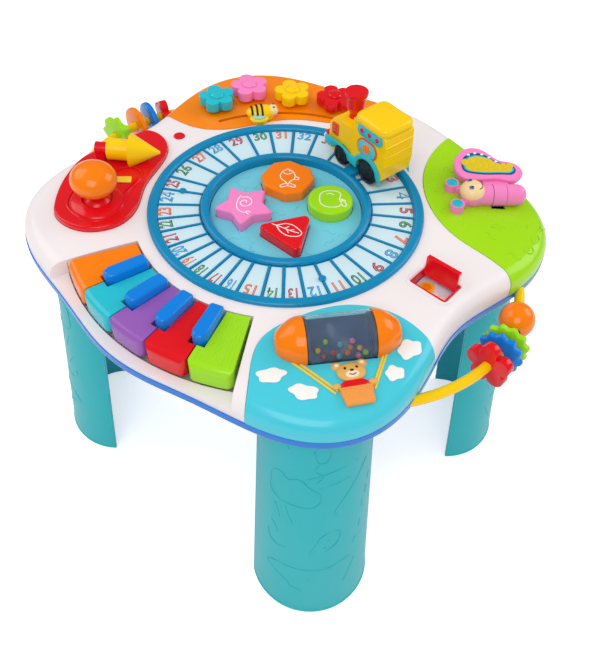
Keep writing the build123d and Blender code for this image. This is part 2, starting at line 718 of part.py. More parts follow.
# ---------------------------------------------------------------- balloon

def balloon_place():
    """Local frame of the balloon: X along the drum."""
    x, y, height = BALLOON
    return Pos(x, y, up(height)) * Rot(0, 0, BALLOON_TURN)


def along_x(radius, start, end):
    """Cylinder along X between two stations."""
    return Pos((start + end) / 2, 0, 0) * Rot(0, 90, 0) * Cylinder(radius, end - start)


def sky_cover():
    """Teal corner cover with the openings for the balloon's drum and its bearings."""
    drum = balloon_place() * Box(DRUM_L + 2 * DRUM_GAP, 2 * (DRUM_R + DRUM_GAP), 60)
    reach = DRUM_L + DRUM_GAP + 2 * (DRUM_BOSS_L + COVER_GAP)
    bearings = balloon_place() * Box(reach, 2 * (DRUM_BOSS_R + COVER_GAP), 60)
    return cover(corner_region("sky"), drum, bearings)


def drum_shell():
    """Clear tube of the drum."""
    half = DRUM_L / 2 - DRUM_GAP / 2
    return balloon_place() * (along_x(DRUM_R, -half, half) - along_x(DRUM_R - DRUM_WALL, -half, half))


def drum_filling():
    """End discs with their pins, the baffle and the loose beads that rest on it."""
    half = DRUM_L / 2 - DRUM_GAP / 2
    core_r = DRUM_R - DRUM_WALL
    core = along_x(core_r, -half, -half + 2) + along_x(core_r, half - 2, half)
    core += Box(2 * half, 2 * core_r - 1, BAFFLE_T)
    for side in (-1, 1):
        core += along_x(DRUM_PIN_R, *sorted((side * (half - 1), side * (half + DRUM_PIN_L))))
    height = BAFFLE_T / 2 + DRUM_BEAD_R + 0.05
    beads = [Pos(-20 + 6.6 * step, -11 + 7.3 * (step % 3), height) * Sphere(DRUM_BEAD_R)
             for step in range(7)]
    return [balloon_place() * core] + [balloon_place() * one for one in beads]


def half_egg(length, radius):
    """Half egg of revolution along +X from its flat end, with a small blunt tip."""
    waist, shoulder = (0.42 * length, 0.907 * radius), (0.76 * length, 0.65 * radius)
    curve = Spline((0, radius), waist, shoulder, (length, EGG_TIP_R), tangents=[(1, 0), (0, -1)])
    edge = Polyline((length, EGG_TIP_R), (length, 0), (0, 0), (0, radius))
    return revolve(make_face(curve + edge), Axis.X)


def balloon_caps():
    """Two orange half-egg ends that sit on the cover and hold the drum's pins."""
    egg = half_egg(CAP_L, DRUM_R + 0.4)
    room = Pos(WALL, 0, 0) * half_egg(CAP_L - 2 * WALL, DRUM_R + 0.4 - WALL)
    bore = along_x(DRUM_PIN_R + PIN_RUN, -1, DRUM_PIN_L + 0.6)
    start = DRUM_L / 2 + DRUM_GAP / 2
    caps = []
    for turn in (0, 180):
        place = balloon_place() * Rot(0, 0, turn) * Pos(start, 0, 0)
        skin = place * (egg - room) - PROUD
        caps.append(skin + place * along_x(DRUM_BOSS_R, 0, DRUM_BOSS_L) - place * bore)
    return caps


def balloon_basket():
    """Raised basket with its rider, standing on the cover."""
    x, y = BASKET
    place = Pos(x, y, up(0)) * Rot(0, 0, BASKET_TURN)
    outline = Polyline((-12, 0), (-10, -14), (10, -14), (12, 0), close=True)
    basket = extrude(make_face(outline), amount=4.0) + Pos(0, 8, 0) * Cylinder(9.5, 3.4, align=UP)
    basket = place * (basket + Pos(0, 0, -12) * extrude(make_face(outline), amount=12))
    return basket - PROUD


# ---------------------------------------------------------------- butterfly

def butterfly_place():
    """Local frame of the butterfly: X along the body, outwards."""
    x, y, height = BUTTERFLY
    return Pos(x, y, up(height)) * Rot(0, 0, BUTTERFLY_TURN)


def meadow_cover():
    """Green corner cover with the roller's slot."""
    half = ROLLER_W / 2 + ROLLER_GAP
    slot = butterfly_place() * Box(2 * half, 2 * (BODY_R + 1), 60)
    return cover(corner_region("meadow"), slot)


def butterfly_body():
    """Head, thorax and tail on both sides of the roller, with feelers and the wing's pin."""
    gap = ROLLER_W / 2 + ROLLER_GAP
    body = along_x(BODY_R, -gap - 12, -gap) + Pos(-gap - 17, 0, 1) * Sphere(12.0)
    body += Pos(gap + BODY_R, 0, 0) * Sphere(BODY_R) + along_x(BODY_R, gap, gap + BODY_R)
    thick, deep, radius = WING_EAR
    ear = Pos(0, -deep / 2, 0) * Box(thick, deep, 2 * radius) + along_x(radius, -thick / 2, thick / 2)
    for side in (-1, 1):
        body += Pos(-gap - 34, side * 15, -4) * Cylinder(6.5, 14)
        body += Pos(-gap - 28, side * 10, -4) * Rot(0, 0, side * -40) * Box(16, 6, 10)
        body += Pos(side * (WING_BARREL_L / 2 + 1.6), WING_HINGE_Y, 0) * ear
    body += along_x(ROLLER_PIN_R, -gap - 1, gap + 1)
    reach = WING_BARREL_L / 2 + 1
    body = body + Pos(0, WING_HINGE_Y, 0) * along_x(WING_PIN_R, -reach, reach)
    return butterfly_place() * body - PROUD


def butterfly_roller():
    """Middle of the butterfly, which spins on its pin."""
    half = ROLLER_W / 2
    return butterfly_place() * (along_x(BODY_R + 0.4, -half, half)
                                - along_x(ROLLER_PIN_R + PIN_RUN, -half - 1, half + 1))


def butterfly_wing():
    """Two-lobed wing frame, tilted up from the barrel beside the body."""
    wing = closed_face(WING_POINTS)
    plate = extrude(wing, amount=WING_T)
    plate = fillet(plate.faces().sort_by(Axis.Z)[-1].edges(), 1.6)
    half = WING_BARREL_L / 2
    hinge = butterfly_place() * Pos(0, WING_HINGE_Y, 0)
    barrel = along_x(WING_BARREL_R, -half, half)
    tab = Pos(0, 3, 1) * Box(WING_BARREL_L, 6, 2 * WING_BARREL_R - 2)
    plate = Rot(WING_TILT, 0, 0) * Pos(0, -WING_HINGE_Y, -1) * plate
    return hinge * (barrel + tab + plate - along_x(WING_PIN_R + PIN_RUN, -half - 1, half + 1))


# ---------------------------------------------------------------- window, gear and garden

def peek_inner(low, high, clear):
    """Room inside the window's walls, less a clearance."""
    wall = PEEK_WALL + clear
    return block((PEEK_X[0] + wall, PEEK_X[1] - wall), (PEEK_Y[0] + wall, PEEK_Y[1] - wall),
                 low, high)


def peek_frame():
    """Red box of the peekaboo window with its picture floor and the lid's pin."""
    walls = block(PEEK_X, PEEK_Y, PEEK_LOW_H, -0.4) - peek_inner(PEEK_LOW_H + PEEK_WALL, 1, 0)
    middle_x = (PEEK_X[0] + PEEK_X[1]) / 2
    length = PEEK_X[1] - PEEK_X[0] - 1
    return walls + Pos(middle_x, LID_Y, up(LID_H)) * along_x(LID_PIN_R, -length / 2, length / 2)


def peek_lid():
    """Lid standing open on its barrel, with a thick edge at the top."""
    wall = PEEK_WALL + LID_GAP
    x_span = (PEEK_X[0] + wall, PEEK_X[1] - wall)
    top = LID_H + LID_Y - PEEK_Y[0] - PEEK_WALL - LID_GAP
    half = (x_span[1] - x_span[0]) / 2
    place = Pos((x_span[0] + x_span[1]) / 2, LID_Y, up(LID_H))
    lid = block(x_span, (LID_Y - LID_T / 2, LID_Y + LID_T / 2), LID_H, top)
    lid += block(x_span, (LID_Y - LID_T / 2, LID_Y + LID_T / 2 + 2), top - 3, top)
    lid += place * along_x(LID_BARREL_R, -half, half)
    return lid - place * along_x(LID_PIN_R + PIN_RUN, -half - 1, half + 1)


def gear_cover():
    """Raised red panel with the lever's opening and the rocket's axle."""
    low = GEAR_LOW_H
    raised = prism(gear_region(), low, GEAR_LIFT + 1) & table_skin(0, GEAR_LIFT)
    raised = fillet(raised.faces().sort_by(Axis.Z)[-1].edges(), GEAR_ROUND)
    hollow = prism(gear_region(-WALL), low - 1, GEAR_LIFT + 1)
    raised -= hollow & table_skin(-WALL, GEAR_LIFT - WALL)
    x, y, height = LEVER
    cradle = ring(DOME_R + 3, DOME_R + 0.8, height - DOME_R - 1, GEAR_LIFT - WALL / 2, x, y)
    cradle += block((x - DOME_R - 2, x + DOME_R + 2), (y - 4, y + 4), height - DOME_R - 1,
                    height - DOME_R + 1)
    for side in (-1, 1):
        middle = x + side * LEVER_EAR_X
        cradle += block((middle - 1.5, middle + 1.5), (y - 3, y + 3), height - DOME_R, height + 3)
    cradle -= Pos(x, y, up(height)) * along_x(LEVER_PIN_R + PIN_RUN, -DOME_R, DOME_R)
    raised -= rod(DOME_R + 0.8, low, GEAR_LIFT + 1, x, y)
    trough = rocket_room(WALL / 2) & prism(gear_region(-WALL / 2), low, GEAR_LIFT - WALL / 2)
    return raised + trough - rocket_room() + rocket_axle() + cradle


def rocket_place():
    """Local frame of the rocket: X along its axle from the tail post."""
    return Pos(*ROCKET_TAIL, up(ROCKET_H)) * Rot(0, 0, ROCKET_TURN)


def rocket_axle():
    """Stub, post and pin that carry the rocket."""
    axle = along_x(6.0, 0, 11) + along_x(ROCKET_PIN_R, 10, 52)
    post = Pos(4, 0, -8) * Box(8, 9, 14)
    return rocket_place() * (axle + post)


def rocket_room(wall=0.0):
    """Turned room round the rocket, with the wall of its trough when asked for."""
    start, step, end = 11.4 - wall, ROCKET_STEP_X - 0.8 - wall, 62 + wall
    collar, cone = ROCKET_COLLAR_R + 0.8 + wall, ROCKET_R + 0.8 + wall
    profile = Polyline((start, 0), (start, collar), (step, collar), (step, cone),
                       (end, 2.2 + wall), (end, 0), close=True)
    return rocket_place() * revolve(make_face(profile), Axis.X)


def rocket_spinner():
    """Yellow collar and cone on one bore."""
    profile = Polyline((12, 0), (12, ROCKET_COLLAR_R), (ROCKET_STEP_X, ROCKET_COLLAR_R),
                       (ROCKET_STEP_X, ROCKET_R), (61, 1.2), (61, 0), close=True)
    body = revolve(make_face(profile), Axis.X)
    return rocket_place() * (body - along_x(ROCKET_PIN_R + PIN_RUN, 11, 52.6))


def gear_lever():
    """Red dome on its pin, with the stalk for the knob."""
    x, y, height = LEVER
    dome = Sphere(DOME_R) - Sphere(DOME_R - WALL)
    dome -= Pos(0, 0, DOME_LOW) * Box(3 * DOME_R, 3 * DOME_R, 2 * DOME_R,
                                      align=(Align.CENTER, Align.CENTER, Align.MAX))
    stalk = Pos(0, 0, DOME_R - 1.5) * Cylinder(STALK_R, STALK_L, align=UP)
    pin = along_x(LEVER_PIN_R, 1 - DOME_R, DOME_R - 1)
    return Pos(x, y, up(height)) * (dome + stalk + pin)


def gear_knob():
    """Large rounded knob on the lever's stalk."""
    x, y, height = LEVER
    knob = scale(Sphere(1), by=KNOB_SIZE)
    socket = Pos(0, 0, -KNOB_SIZE[2]) * Cylinder(STALK_R, KNOB_SOCKET, align=UP)
    centre = height + DOME_R - 1.5 + STALK_L - KNOB_SOCKET + KNOB_SIZE[2]
    return Pos(x, y, up(centre)) * (knob - socket)


def flower_face(radius):
    """Five round petals about a middle."""
    face = Circle(radius * 0.5)
    for step in range(PETALS):
        face += Pos(*polar(radius * 0.62, 90 + 360 / PETALS * step)) * Circle(radius * 0.38)
    return face


def flower_seat(name):
    """Height of the garden cover under a flower."""
    x, y = FLOWERS[name]
    return COVER_LIFT - crown_drop(hypot(x, y))


def flower_button(name):
    """Flower cap with a stem through the cover."""
    x, y = FLOWERS[name]
    seat = flower_seat(name)
    cap = prism(Pos(x, y) * flower_face(FLOWER_R), seat + FLOWER_TRAVEL + FLOWER_GAP, FLOWER_TOP_H)
    cap += rod(4.5, FLOWER_TOP_H - 1, FLOWER_TOP_H + 1.6, x, y)
    under = seat - COVER_LIFT - WALL - FLOWER_FLANGE_GAP
    cap += rod(5.0, under - 1.6, FLOWER_TOP_H - 1, x, y)
    return cap + rod(7.0, under - 1.6, under, x, y)


def garden_cover():
    """Orange corner cover with the flowers' holes and the bee's groove."""
    holes = [rod(5.5, SEAM_H, FLOWER_TOP_H, x, y) for x, y in FLOWERS.values()]
    holes.append(sector(GROOVE_R - GROOVE_W / 2, GROOVE_R + GROOVE_W / 2, *GROOVE, SEAM_H,
                        COVER_LIFT + 1))
    return cover(corner_region("garden"), *holes)


def bee_slider():
    """Bee on a neck through the groove, kept by a foot under the cover."""
    seat = COVER_LIFT - crown_drop(GROOVE_R) + BEE_GAP
    body = Pos(BEE_R, 2, seat) * extrude(Ellipse(7.2, 13.0), amount=9.0)
    body = fillet(body.faces().sort_by(Axis.Z)[-1].edges(), 3.0)
    wing = Pos(BEE_R - 7, 5, seat + 0.6) * extrude(Ellipse(6.5, 8.0), amount=4.0)
    under = seat - BEE_GAP - COVER_LIFT - WALL - COVER_GAP
    neck = Pos(GROOVE_R - 0.2, 0, under - 1) * Cylinder(GROOVE_W / 2 - 0.4, 6, align=UP)
    bridge = Pos(GROOVE_R - 3.4, 0, seat) * Box(6.8, 5, 4, align=UP)
    foot = Pos(GROOVE_R, 0, under - 2) * Cylinder(4.5, 2, align=UP)
    return Rot(0, 0, BEE_ANGLE) * Pos(0, 0, DECK_Z) * (body + wing + neck + bridge + foot)


# ---------------------------------------------------------------- train

TRAIN_R = (TRACK_IN_R + TRACK_OUT_R) / 2
TRAIN_ANGLE = 79.5
WHEEL_CLEAR = 0.6
REAR_WHEEL_R = 12.5
FRONT_WHEEL_R = 10.0
REAR_X, FRONT_X = -19.0, 17.0
WHEEL_Y = ((11.5, 18.0), (-13.0, -6.5))
AXLE_R = 1.5
CHIMNEY_X = 21.0
CHIMNEY_TRAVEL = 3.0
CHIMNEY_STEM_R = 5.0
CHIMNEY_GAP = 0.3
TRAIN_HALF_W = 17.5


def train_place():
    """Local frame of the train: X forwards, Y towards the table's middle."""
    x, y = polar(TRAIN_R, TRAIN_ANGLE)
    return Pos(x, y, DECK_Z) * Rot(0, 0, TRAIN_ANGLE + 90)


def side_profile(points, half_width):
    """Side outline extruded across the train."""
    face = Plane.XZ * make_face(Polyline(*points, close=True))
    return extrude(face, amount=half_width, both=True)


def wheel_height(radius):
    """Height of an axle above the deck."""
    return RIB_H + WHEEL_CLEAR + radius


def train_body():
    """Yellow cab and bonnet with wheel arches and axle bores."""
    cab = side_profile([(-38, 14), (-40, 30), (-38, 58), (-31, 64), (0, 64), (4, 60), (4, 14)],
                       TRAIN_HALF_W)
    cab = fillet(cab.edges().filter_by(Axis.Y), 2.5)
    bonnet = side_profile([(0, 10), (0, 46), (32, 45), (37, 38), (38, 10)], TRAIN_HALF_W - 2)
    bonnet = fillet(bonnet.edges().filter_by(Axis.Y).sort_by(Axis.X)[-3:], 3.0)
    body = cab + bonnet
    for x, radius in ((REAR_X, REAR_WHEEL_R), (FRONT_X, FRONT_WHEEL_R)):
        axle = Pos(x, 0, wheel_height(radius)) * Rot(90, 0, 0)
        body -= axle * Cylinder(AXLE_R + PIN_RUN, 60)
        for low, high in WHEEL_Y:
            side = 1 if low > 0 else -1
            start = min(abs(low), abs(high)) - 0.6
            arch = Cylinder(radius + 1.2, 40, align=UP)
            body -= Pos(x, side * start, wheel_height(radius)) * Rot(-90 * side, 0, 0) * arch
    body -= Pos(CHIMNEY_X, 0, 34) * Cylinder(CHIMNEY_STEM_R + CHIMNEY_GAP, 20, align=UP)
    body += side_profile([(-8, CARRIER_TOP_H + 1.5), (-8, 16), (6, 16), (6, CARRIER_TOP_H + 1.5)], 6)
    return train_place() * body


def train_wheels(x, radius):
    """Two wheels on their axle."""
    place = train_place() * Pos(x, 0, wheel_height(radius)) * Rot(-90, 0, 0)
    parts = Pos(0, 0, WHEEL_Y[1][0]) * Cylinder(AXLE_R, WHEEL_Y[0][1] - WHEEL_Y[1][0], align=UP)
    for low, high in WHEEL_Y:
        wheel = Pos(0, 0, low) * Cylinder(radius, high - low, align=UP)
        wheel = fillet(wheel.edges().filter_by(GeomType.CIRCLE), 1.2)
        parts += wheel
    return place * parts


def train_chimney():
    """Red press-down chimney with a flared cup."""
    profile = Polyline((0, 37), (CHIMNEY_STEM_R, 37), (CHIMNEY_STEM_R, 50), (8.6, 56.5),
                       (9.4, 67), (10.8, 69), (10.8, 72), (0, 72), close=True)
    stack = revolve(Plane.XZ * make_face(profile), Axis.Z)
    return train_place() * Pos(CHIMNEY_X, 0, 0) * stack


# ---------------------------------------------------------------- bead bars and small pieces

def on_bar(shape, angle):
    """A bead built about the Y axis, put on the +X bar at an angle of its arc."""
    return Pos(bar_centre_x(), 0, up(BAR_H)) * Rot(0, 0, angle) * Pos(bar_radius(), 0, 0) * shape


def bead(face, thickness):
    """Flat bead across the bar."""
    body = Pos(0, thickness / 2, 0) * extrude(Plane.XZ * face, amount=thickness)
    return body - Rot(90, 0, 0) * Cylinder(BAR_TUBE_R + BEAD_BORE_GAP, 3 * thickness)


def ball_bead():
    """Orange egg bead along the bar."""
    body = scale(Sphere(1), by=BALL_SIZE)
    return body - Rot(90, 0, 0) * Cylinder(BAR_TUBE_R + 3 * BEAD_BORE_GAP, 40)


def right_disc_beads():
    """Red, blue and green flower discs, side by side."""
    return [on_bar(bead(flower_face(21.0), 8.5), -3.4), on_bar(bead(Circle(20.0), 5.0), 3.2),
            on_bar(bead(Circle(20.0), 5.0), 7.8)]


def left_beads():
    """Green flower, orange and blue hoops and red flower on the other bar."""
    beads = [on_bar(bead(flower_face(20.7), 7.5), 2.4), on_bar(bead(Circle(19.5), 5.0), -7.8),
             on_bar(bead(Circle(19.5), 5.0), -14.2), on_bar(bead(flower_face(18.0), 7.5), -20.8)]
    return [Rot(0, 0, 180) * one for one in beads]


def bead_bars():
    """Both yellow bars, their ends in the rim."""
    bar = bar_tube(BAR_TUBE_R, bar_half_angle() + BAR_INSERT_DEG - 0.1)
    return [bar, Rot(0, 0, 180) * bar]


def indicator_lens():
    """Red lens in the deck with a collar under it."""
    lens = rod(LENS_R, -6, 0.8, *LENS)
    lens = fillet(lens.faces().sort_by(Axis.Z)[-1].edges(), 0.7)
    return lens + rod(LENS_R + LENS_COLLAR, -5, -WALL - LENS_SEAT, *LENS)


def case_screw(x, y):
    """One case screw, head down."""
    return rod(SCREW_HEAD_R, SCREW_SEAT_H - 2.2, SCREW_SEAT_H, x, y) + rod(
        SCREW_R, SCREW_SEAT_H, SCREW_TIP_H, x, y)


def speaker():
    """Speaker: frame, basket and magnet."""
    x, y = SPEAKER
    low = FLOOR_H + PAN_WALL
    return (rod(SPEAKER_R, low, low + 3, x, y) + rod(18, low + 3, low + 9, x, y)
            + rod(12, low + 9, low + 15, x, y))


def battery_door():
    """Door that closes the battery bay."""
    return bay_block(-0.3, FLOOR_H, FLOOR_H + PAN_WALL)


def battery_cells():
    """Three cells side by side on the door."""
    x, y = BAY
    cell = Rot(0, 90, 0) * Cylinder(CELL_R, CELL_L)
    height = up(FLOOR_H + PAN_WALL + CELL_R + 0.1)
    return [Pos(x, y + step * (2 * CELL_R + 1), height) * cell for step in (-1, 0, 1)]


def power_switch():
    """Slider in its slot, with a flange above the floor."""
    x, y = SWITCH
    tab = block((x - SWITCH_W / 2, x + SWITCH_W / 2), (y - 2.4, y + 2.4), FLOOR_H - 1, FLOOR_H + PAN_WALL + 1)
    low = FLOOR_H + PAN_WALL + 0.3
    return tab + block((x - 11, x + 11), (y - 5, y + 5), low, low + 2)


def write_parts():
    """Builds and writes every sub-part."""
    save("base_shell", base_shell())
    save("top_shell", top_shell())
    save("sky_cover", sky_cover())
    save("meadow_cover", meadow_cover())
    save("garden_cover", garden_cover())
    save("gear_cover", gear_cover())
    for name, angle in CORNERS.items():
        save(name, leg(angle))
    save("track_tray", track_tray())
    save("carrier_ring", carrier_ring())
    save("centre_disc", centre_disc())
    for name in SHAPES:
        save(name, shape_button(name))
    save("contact_pads", *contact_pads())
    save("circuit_board", circuit_board())
    save("key_frame", key_frame())
    for index, name in enumerate(KEYS):
        save(name, colour_key(index))
    for step in range(1, len(KEYS)):
        save(f"blue_key_{step}", blue_key(step))
    save("drum_shell", drum_shell())
    save("drum_filling", *drum_filling())
    save("balloon_caps", *balloon_caps())
    save("balloon_basket", balloon_basket())
    save("butterfly_body", butterfly_body())
    save("butterfly_roller", butterfly_roller())
    save("butterfly_wing", butterfly_wing())
    save("peek_frame", peek_frame())
    save("peek_lid", peek_lid())
    save("gear_lever", gear_lever())
    save("gear_knob", gear_knob())
    save("rocket_spinner", rocket_spinner())
    for name in FLOWERS:
        save(name, flower_button(name))
    save("bee_slider", bee_slider())
    save("train_body", train_body())
    save("train_rear_wheels", train_wheels(REAR_X, REAR_WHEEL_R))
    save("train_front_wheels", train_wheels(FRONT_X, FRONT_WHEEL_R))
    save("train_chimney", train_chimney())
    save("bead_bars", *bead_bars())
    save("right_disc_beads", *right_disc_beads())
    save("right_ball_bead", on_bar(ball_bead(), 20.0))
    save("left_beads", *left_beads())
    save("indicator_lens", indicator_lens())
    save("case_screws", *[case_screw(x, y) for x, y in SCREWS])
    save("speaker", speaker())
    save("battery_door", battery_door())
    save("battery_cells", *battery_cells())
    save("power_switch", power_switch())


write_parts()
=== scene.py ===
"""Looks of the musical activity table: finishes, printed plates, small trim, light and camera."""

from math import cos, hypot, pi, radians, sin, sqrt

import bpy
from mathutils import Matrix, Vector


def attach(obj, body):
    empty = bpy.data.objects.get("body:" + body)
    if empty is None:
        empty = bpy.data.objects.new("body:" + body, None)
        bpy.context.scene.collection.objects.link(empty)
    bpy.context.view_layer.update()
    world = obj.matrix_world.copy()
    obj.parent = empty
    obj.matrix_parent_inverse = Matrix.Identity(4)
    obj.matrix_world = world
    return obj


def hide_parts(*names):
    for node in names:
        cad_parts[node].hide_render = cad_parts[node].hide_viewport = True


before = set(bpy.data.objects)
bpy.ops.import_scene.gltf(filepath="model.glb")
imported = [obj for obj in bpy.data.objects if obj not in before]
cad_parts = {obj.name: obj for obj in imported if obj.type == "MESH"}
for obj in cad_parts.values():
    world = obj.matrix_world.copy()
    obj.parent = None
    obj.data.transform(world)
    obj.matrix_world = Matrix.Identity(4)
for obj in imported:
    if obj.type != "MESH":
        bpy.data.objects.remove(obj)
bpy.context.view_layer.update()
MM = 0.001
DECK = 0.319


# ------------------------------------------------------------------ shader maths

class Signal:
    """One output of a material's node tree, with arithmetic."""

    def __init__(self, tree, socket):
        self.tree = tree
        self.socket = socket

    def node(self, kind, inputs=(), out=0, **settings):
        """Adds a node, sets it and links its inputs; returns its chosen output."""
        made = self.tree.nodes.new(kind)
        for key, value in settings.items():
            setattr(made, key, value)
        for key, value in dict(inputs).items():
            if isinstance(value, Signal):
                self.tree.links.new(value.socket, made.inputs[key])
            elif value is not None:
                made.inputs[key].default_value = value
        return Signal(self.tree, made.outputs[out])

    def maths(self, operation, other=0.0, third=0.0, clamp=False):
        """One step of a Math node."""
        return self.node("ShaderNodeMath", {0: self, 1: other, 2: third}, operation=operation,
                         use_clamp=clamp)

    def __add__(self, other):
        return self.maths("ADD", other)

    def __radd__(self, other):
        return self.maths("ADD", other)

    def __sub__(self, other):
        return self.maths("SUBTRACT", other)

    def __rsub__(self, other):
        return (self * -1.0) + other

    def __mul__(self, other):
        return self.maths("MULTIPLY", other)

    def __rmul__(self, other):
        return self.maths("MULTIPLY", other)

    def __truediv__(self, other):
        return self.maths("DIVIDE", other)

    def above(self, level, soft=0.02):
        """0 below a level and 1 above it, over a soft edge."""
        return ((self - level) / soft).maths("ADD", 0.5, clamp=True)

    def mix(self, low, high):
        """Colour between two colours by this factor."""
        return self.node("ShaderNodeMix", {0: self, 6: low, 7: high}, out=2, data_type="RGBA")


def material(name):
    """New node material; returns it, its Principled node and a Signal of object coordinates."""
    made = bpy.data.materials.new(name)
    made.use_nodes = True
    tree = made.node_tree
    shader = tree.nodes["Principled BSDF"]
    place = tree.nodes.new("ShaderNodeTexCoord")
    return made, shader, Signal(tree, place.outputs["Object"])


def tint(colour, factor):
    """Colour made lighter or darker."""
    return tuple(min(1.0, max(0.0, part * factor)) for part in colour[:3]) + (1.0,)


def linear(red, green, blue):
    """Linear colour of an sRGB colour given in 0 to 255."""
    parts = []
    for part in (red, green, blue):
        level = part / 255
        parts.append(level / 12.92 if level < 0.04045 else ((level + 0.055) / 1.055) ** 2.4)
    return tuple(parts) + (1.0,)


def moulded(name, colour, rough=0.26, grain=0.0, coat=0.28, sheen_spots=0.02):
    """Injection moulded plastic: slow colour drift, fine orange peel and handling marks."""
    made, shader, place = material(name)
    drift = place.node("ShaderNodeTexNoise", {"Vector": place, "Scale": 9.0, "Detail": 3.0})
    smear = place.node("ShaderNodeTexNoise", {"Vector": place, "Scale": 55.0, "Detail": 4.0,
                                              "Distortion": 0.6})
    peel = place.node("ShaderNodeTexNoise", {"Vector": place, "Scale": 900.0, "Detail": 2.0})
    shade = drift.mix(tint(colour, 0.955), tint(colour, 1.035))
    made.node_tree.links.new(shade.socket, shader.inputs["Base Color"])
    level = (smear * (0.10 + sheen_spots)) + (rough - 0.05)
    made.node_tree.links.new(level.socket, shader.inputs["Roughness"])
    height = peel * (0.12 + grain)
    if grain:
        leather = place.node("ShaderNodeTexVoronoi", {"Vector": place, "Scale": 1400.0})
        height = height + leather * grain
    bump = place.node("ShaderNodeBump", {"Height": height, "Strength": 0.10 + grain,
                                         "Distance": 0.0004})
    made.node_tree.links.new(bump.socket, shader.inputs["Normal"])
    shader.inputs["Coat Weight"].default_value = coat
    shader.inputs["Coat Roughness"].default_value = 0.07
    shader.inputs["IOR"].default_value = 1.36
    return made


WHITE = moulded("white_body_plastic", linear(240, 232, 233), rough=0.34, grain=0.15, coat=0.12)
RIM_BLUE = moulded("rim_blue_plastic", linear(2, 116, 214), rough=0.22)
SKY = moulded("sky_teal_plastic", linear(72, 202, 220), rough=0.22)
MEADOW = moulded("meadow_green_plastic", linear(164, 224, 8), rough=0.25)
GARDEN = moulded("garden_orange_plastic", linear(255, 138, 2), rough=0.25)
RED = moulded("red_plastic", linear(226, 12, 26), rough=0.2, coat=0.4)
LEG = moulded("leg_teal_plastic", linear(30, 180, 188), rough=0.36, grain=0.12, coat=0.14)
TRACK = moulded("track_blue_plastic", linear(4, 136, 184), rough=0.24)
DISC = moulded("grained_disc_plastic", linear(116, 206, 224), rough=0.42, grain=0.5, coat=0.05)
YELLOW = moulded("yellow_plastic", linear(255, 206, 2), rough=0.22)
ORANGE = moulded("orange_plastic", linear(252, 128, 2), rough=0.18, coat=0.4)
TEAL = moulded("teal_plastic", linear(36, 190, 206), rough=0.22)
PURPLE = moulded("purple_plastic", linear(150, 92, 180), rough=0.22)
GREEN = moulded("green_plastic", linear(158, 222, 24), rough=0.22)
BLUE = moulded("bright_blue_plastic", linear(6, 126, 220), rough=0.2)
PINK = moulded("pink_plastic", linear(248, 136, 198), rough=0.25)
CREAM = moulded("cream_plastic", linear(250, 214, 160), rough=0.3)
DARK = moulded("dark_blue_plastic", linear(30, 44, 96), rough=0.35)
BLACK = moulded("wheel_black_plastic", linear(24, 26, 34), rough=0.3)
BOARD = moulded("circuit_board_green", linear(20, 96, 48), rough=0.5)
RUBBER = moulded("grey_pad_rubber", linear(150, 150, 150), rough=0.7, coat=0.0)


def clear_plastic():
    """Clear drum tube."""
    made, shader, place = material("clear_drum_plastic")
    shader.inputs["Base Color"].default_value = (0.93, 0.97, 1.0, 1.0)
    shader.inputs["Transmission Weight"].default_value = 0.95
    shader.inputs["IOR"].default_value = 1.2
    smear = place.node("ShaderNodeTexNoise", {"Vector": place, "Scale": 80.0, "Detail": 3.0})
    made.node_tree.links.new((smear * 0.1 + 0.02).socket, shader.inputs["Roughness"])
    return made


CLEAR = clear_plastic()


def brushed_steel():
    """Screws."""
    made, shader, place = material("screw_steel")
    shader.inputs["Metallic"].default_value = 1.0
    shader.inputs["Base Color"].default_value = (0.6, 0.6, 0.62, 1.0)
    streak = place.node("ShaderNodeTexNoise", {"Vector": place, "Scale": 500.0, "Detail": 4.0})
    made.node_tree.links.new((streak * 0.25 + 0.22).socket, shader.inputs["Roughness"])
    return made


STEEL = brushed_steel()

FINISHES = {
    WHITE: ["top_shell", "key_frame", "power_switch"],
    RIM_BLUE: ["base_shell", "battery_door"],
    SKY: ["sky_cover"], MEADOW: ["meadow_cover"], GARDEN: ["garden_cover"], RED: ["gear_cover",
        "gear_lever", "peek_frame", "peek_lid", "indicator_lens", "train_chimney", "red_key",
        "triangle_button", "red_flower"],
    LEG: ["front_right_leg", "back_right_leg", "back_left_leg", "front_left_leg"],
    TRACK: ["track_tray", "carrier_ring"], DISC: ["centre_disc"],
    YELLOW: ["train_body", "rocket_spinner", "bee_slider", "balloon_basket", "bead_bars",
             "yellow_flower"],
    ORANGE: ["balloon_caps", "gear_knob", "octagon_button", "orange_key", "right_ball_bead"],
    TEAL: ["teal_key", "teal_flower"], PURPLE: ["purple_key"],
    GREEN: ["green_key", "round_button", "left_beads"],
    BLUE: ["blue_key_1", "blue_key_2", "blue_key_3", "blue_key_4", "right_disc_beads"],
    PINK: ["butterfly_body", "butterfly_roller", "butterfly_wing", "pink_flower", "star_button"],
    CLEAR: ["drum_shell"], DARK: ["drum_filling", "speaker", "battery_cells"],
    BLACK: ["train_front_wheels", "train_rear_wheels"],
    BOARD: ["circuit_board"], RUBBER: ["contact_pads"], STEEL: ["case_screws"],
}

for finish, names in FINISHES.items():
    for name in names:
        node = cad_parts[name]
        node.data.materials.clear()
        node.data.materials.append(finish)


# ------------------------------------------------------------------ modelling helpers

CROWN_R = 0.8
FLAT_R = 0.128


def fall(x, y):
    """How far the crowned top lies below the deck at a plan point, in metres."""
    reach = max(hypot(x, y) - FLAT_R, 0.0)
    return CROWN_R - sqrt(CROWN_R ** 2 - reach ** 2)


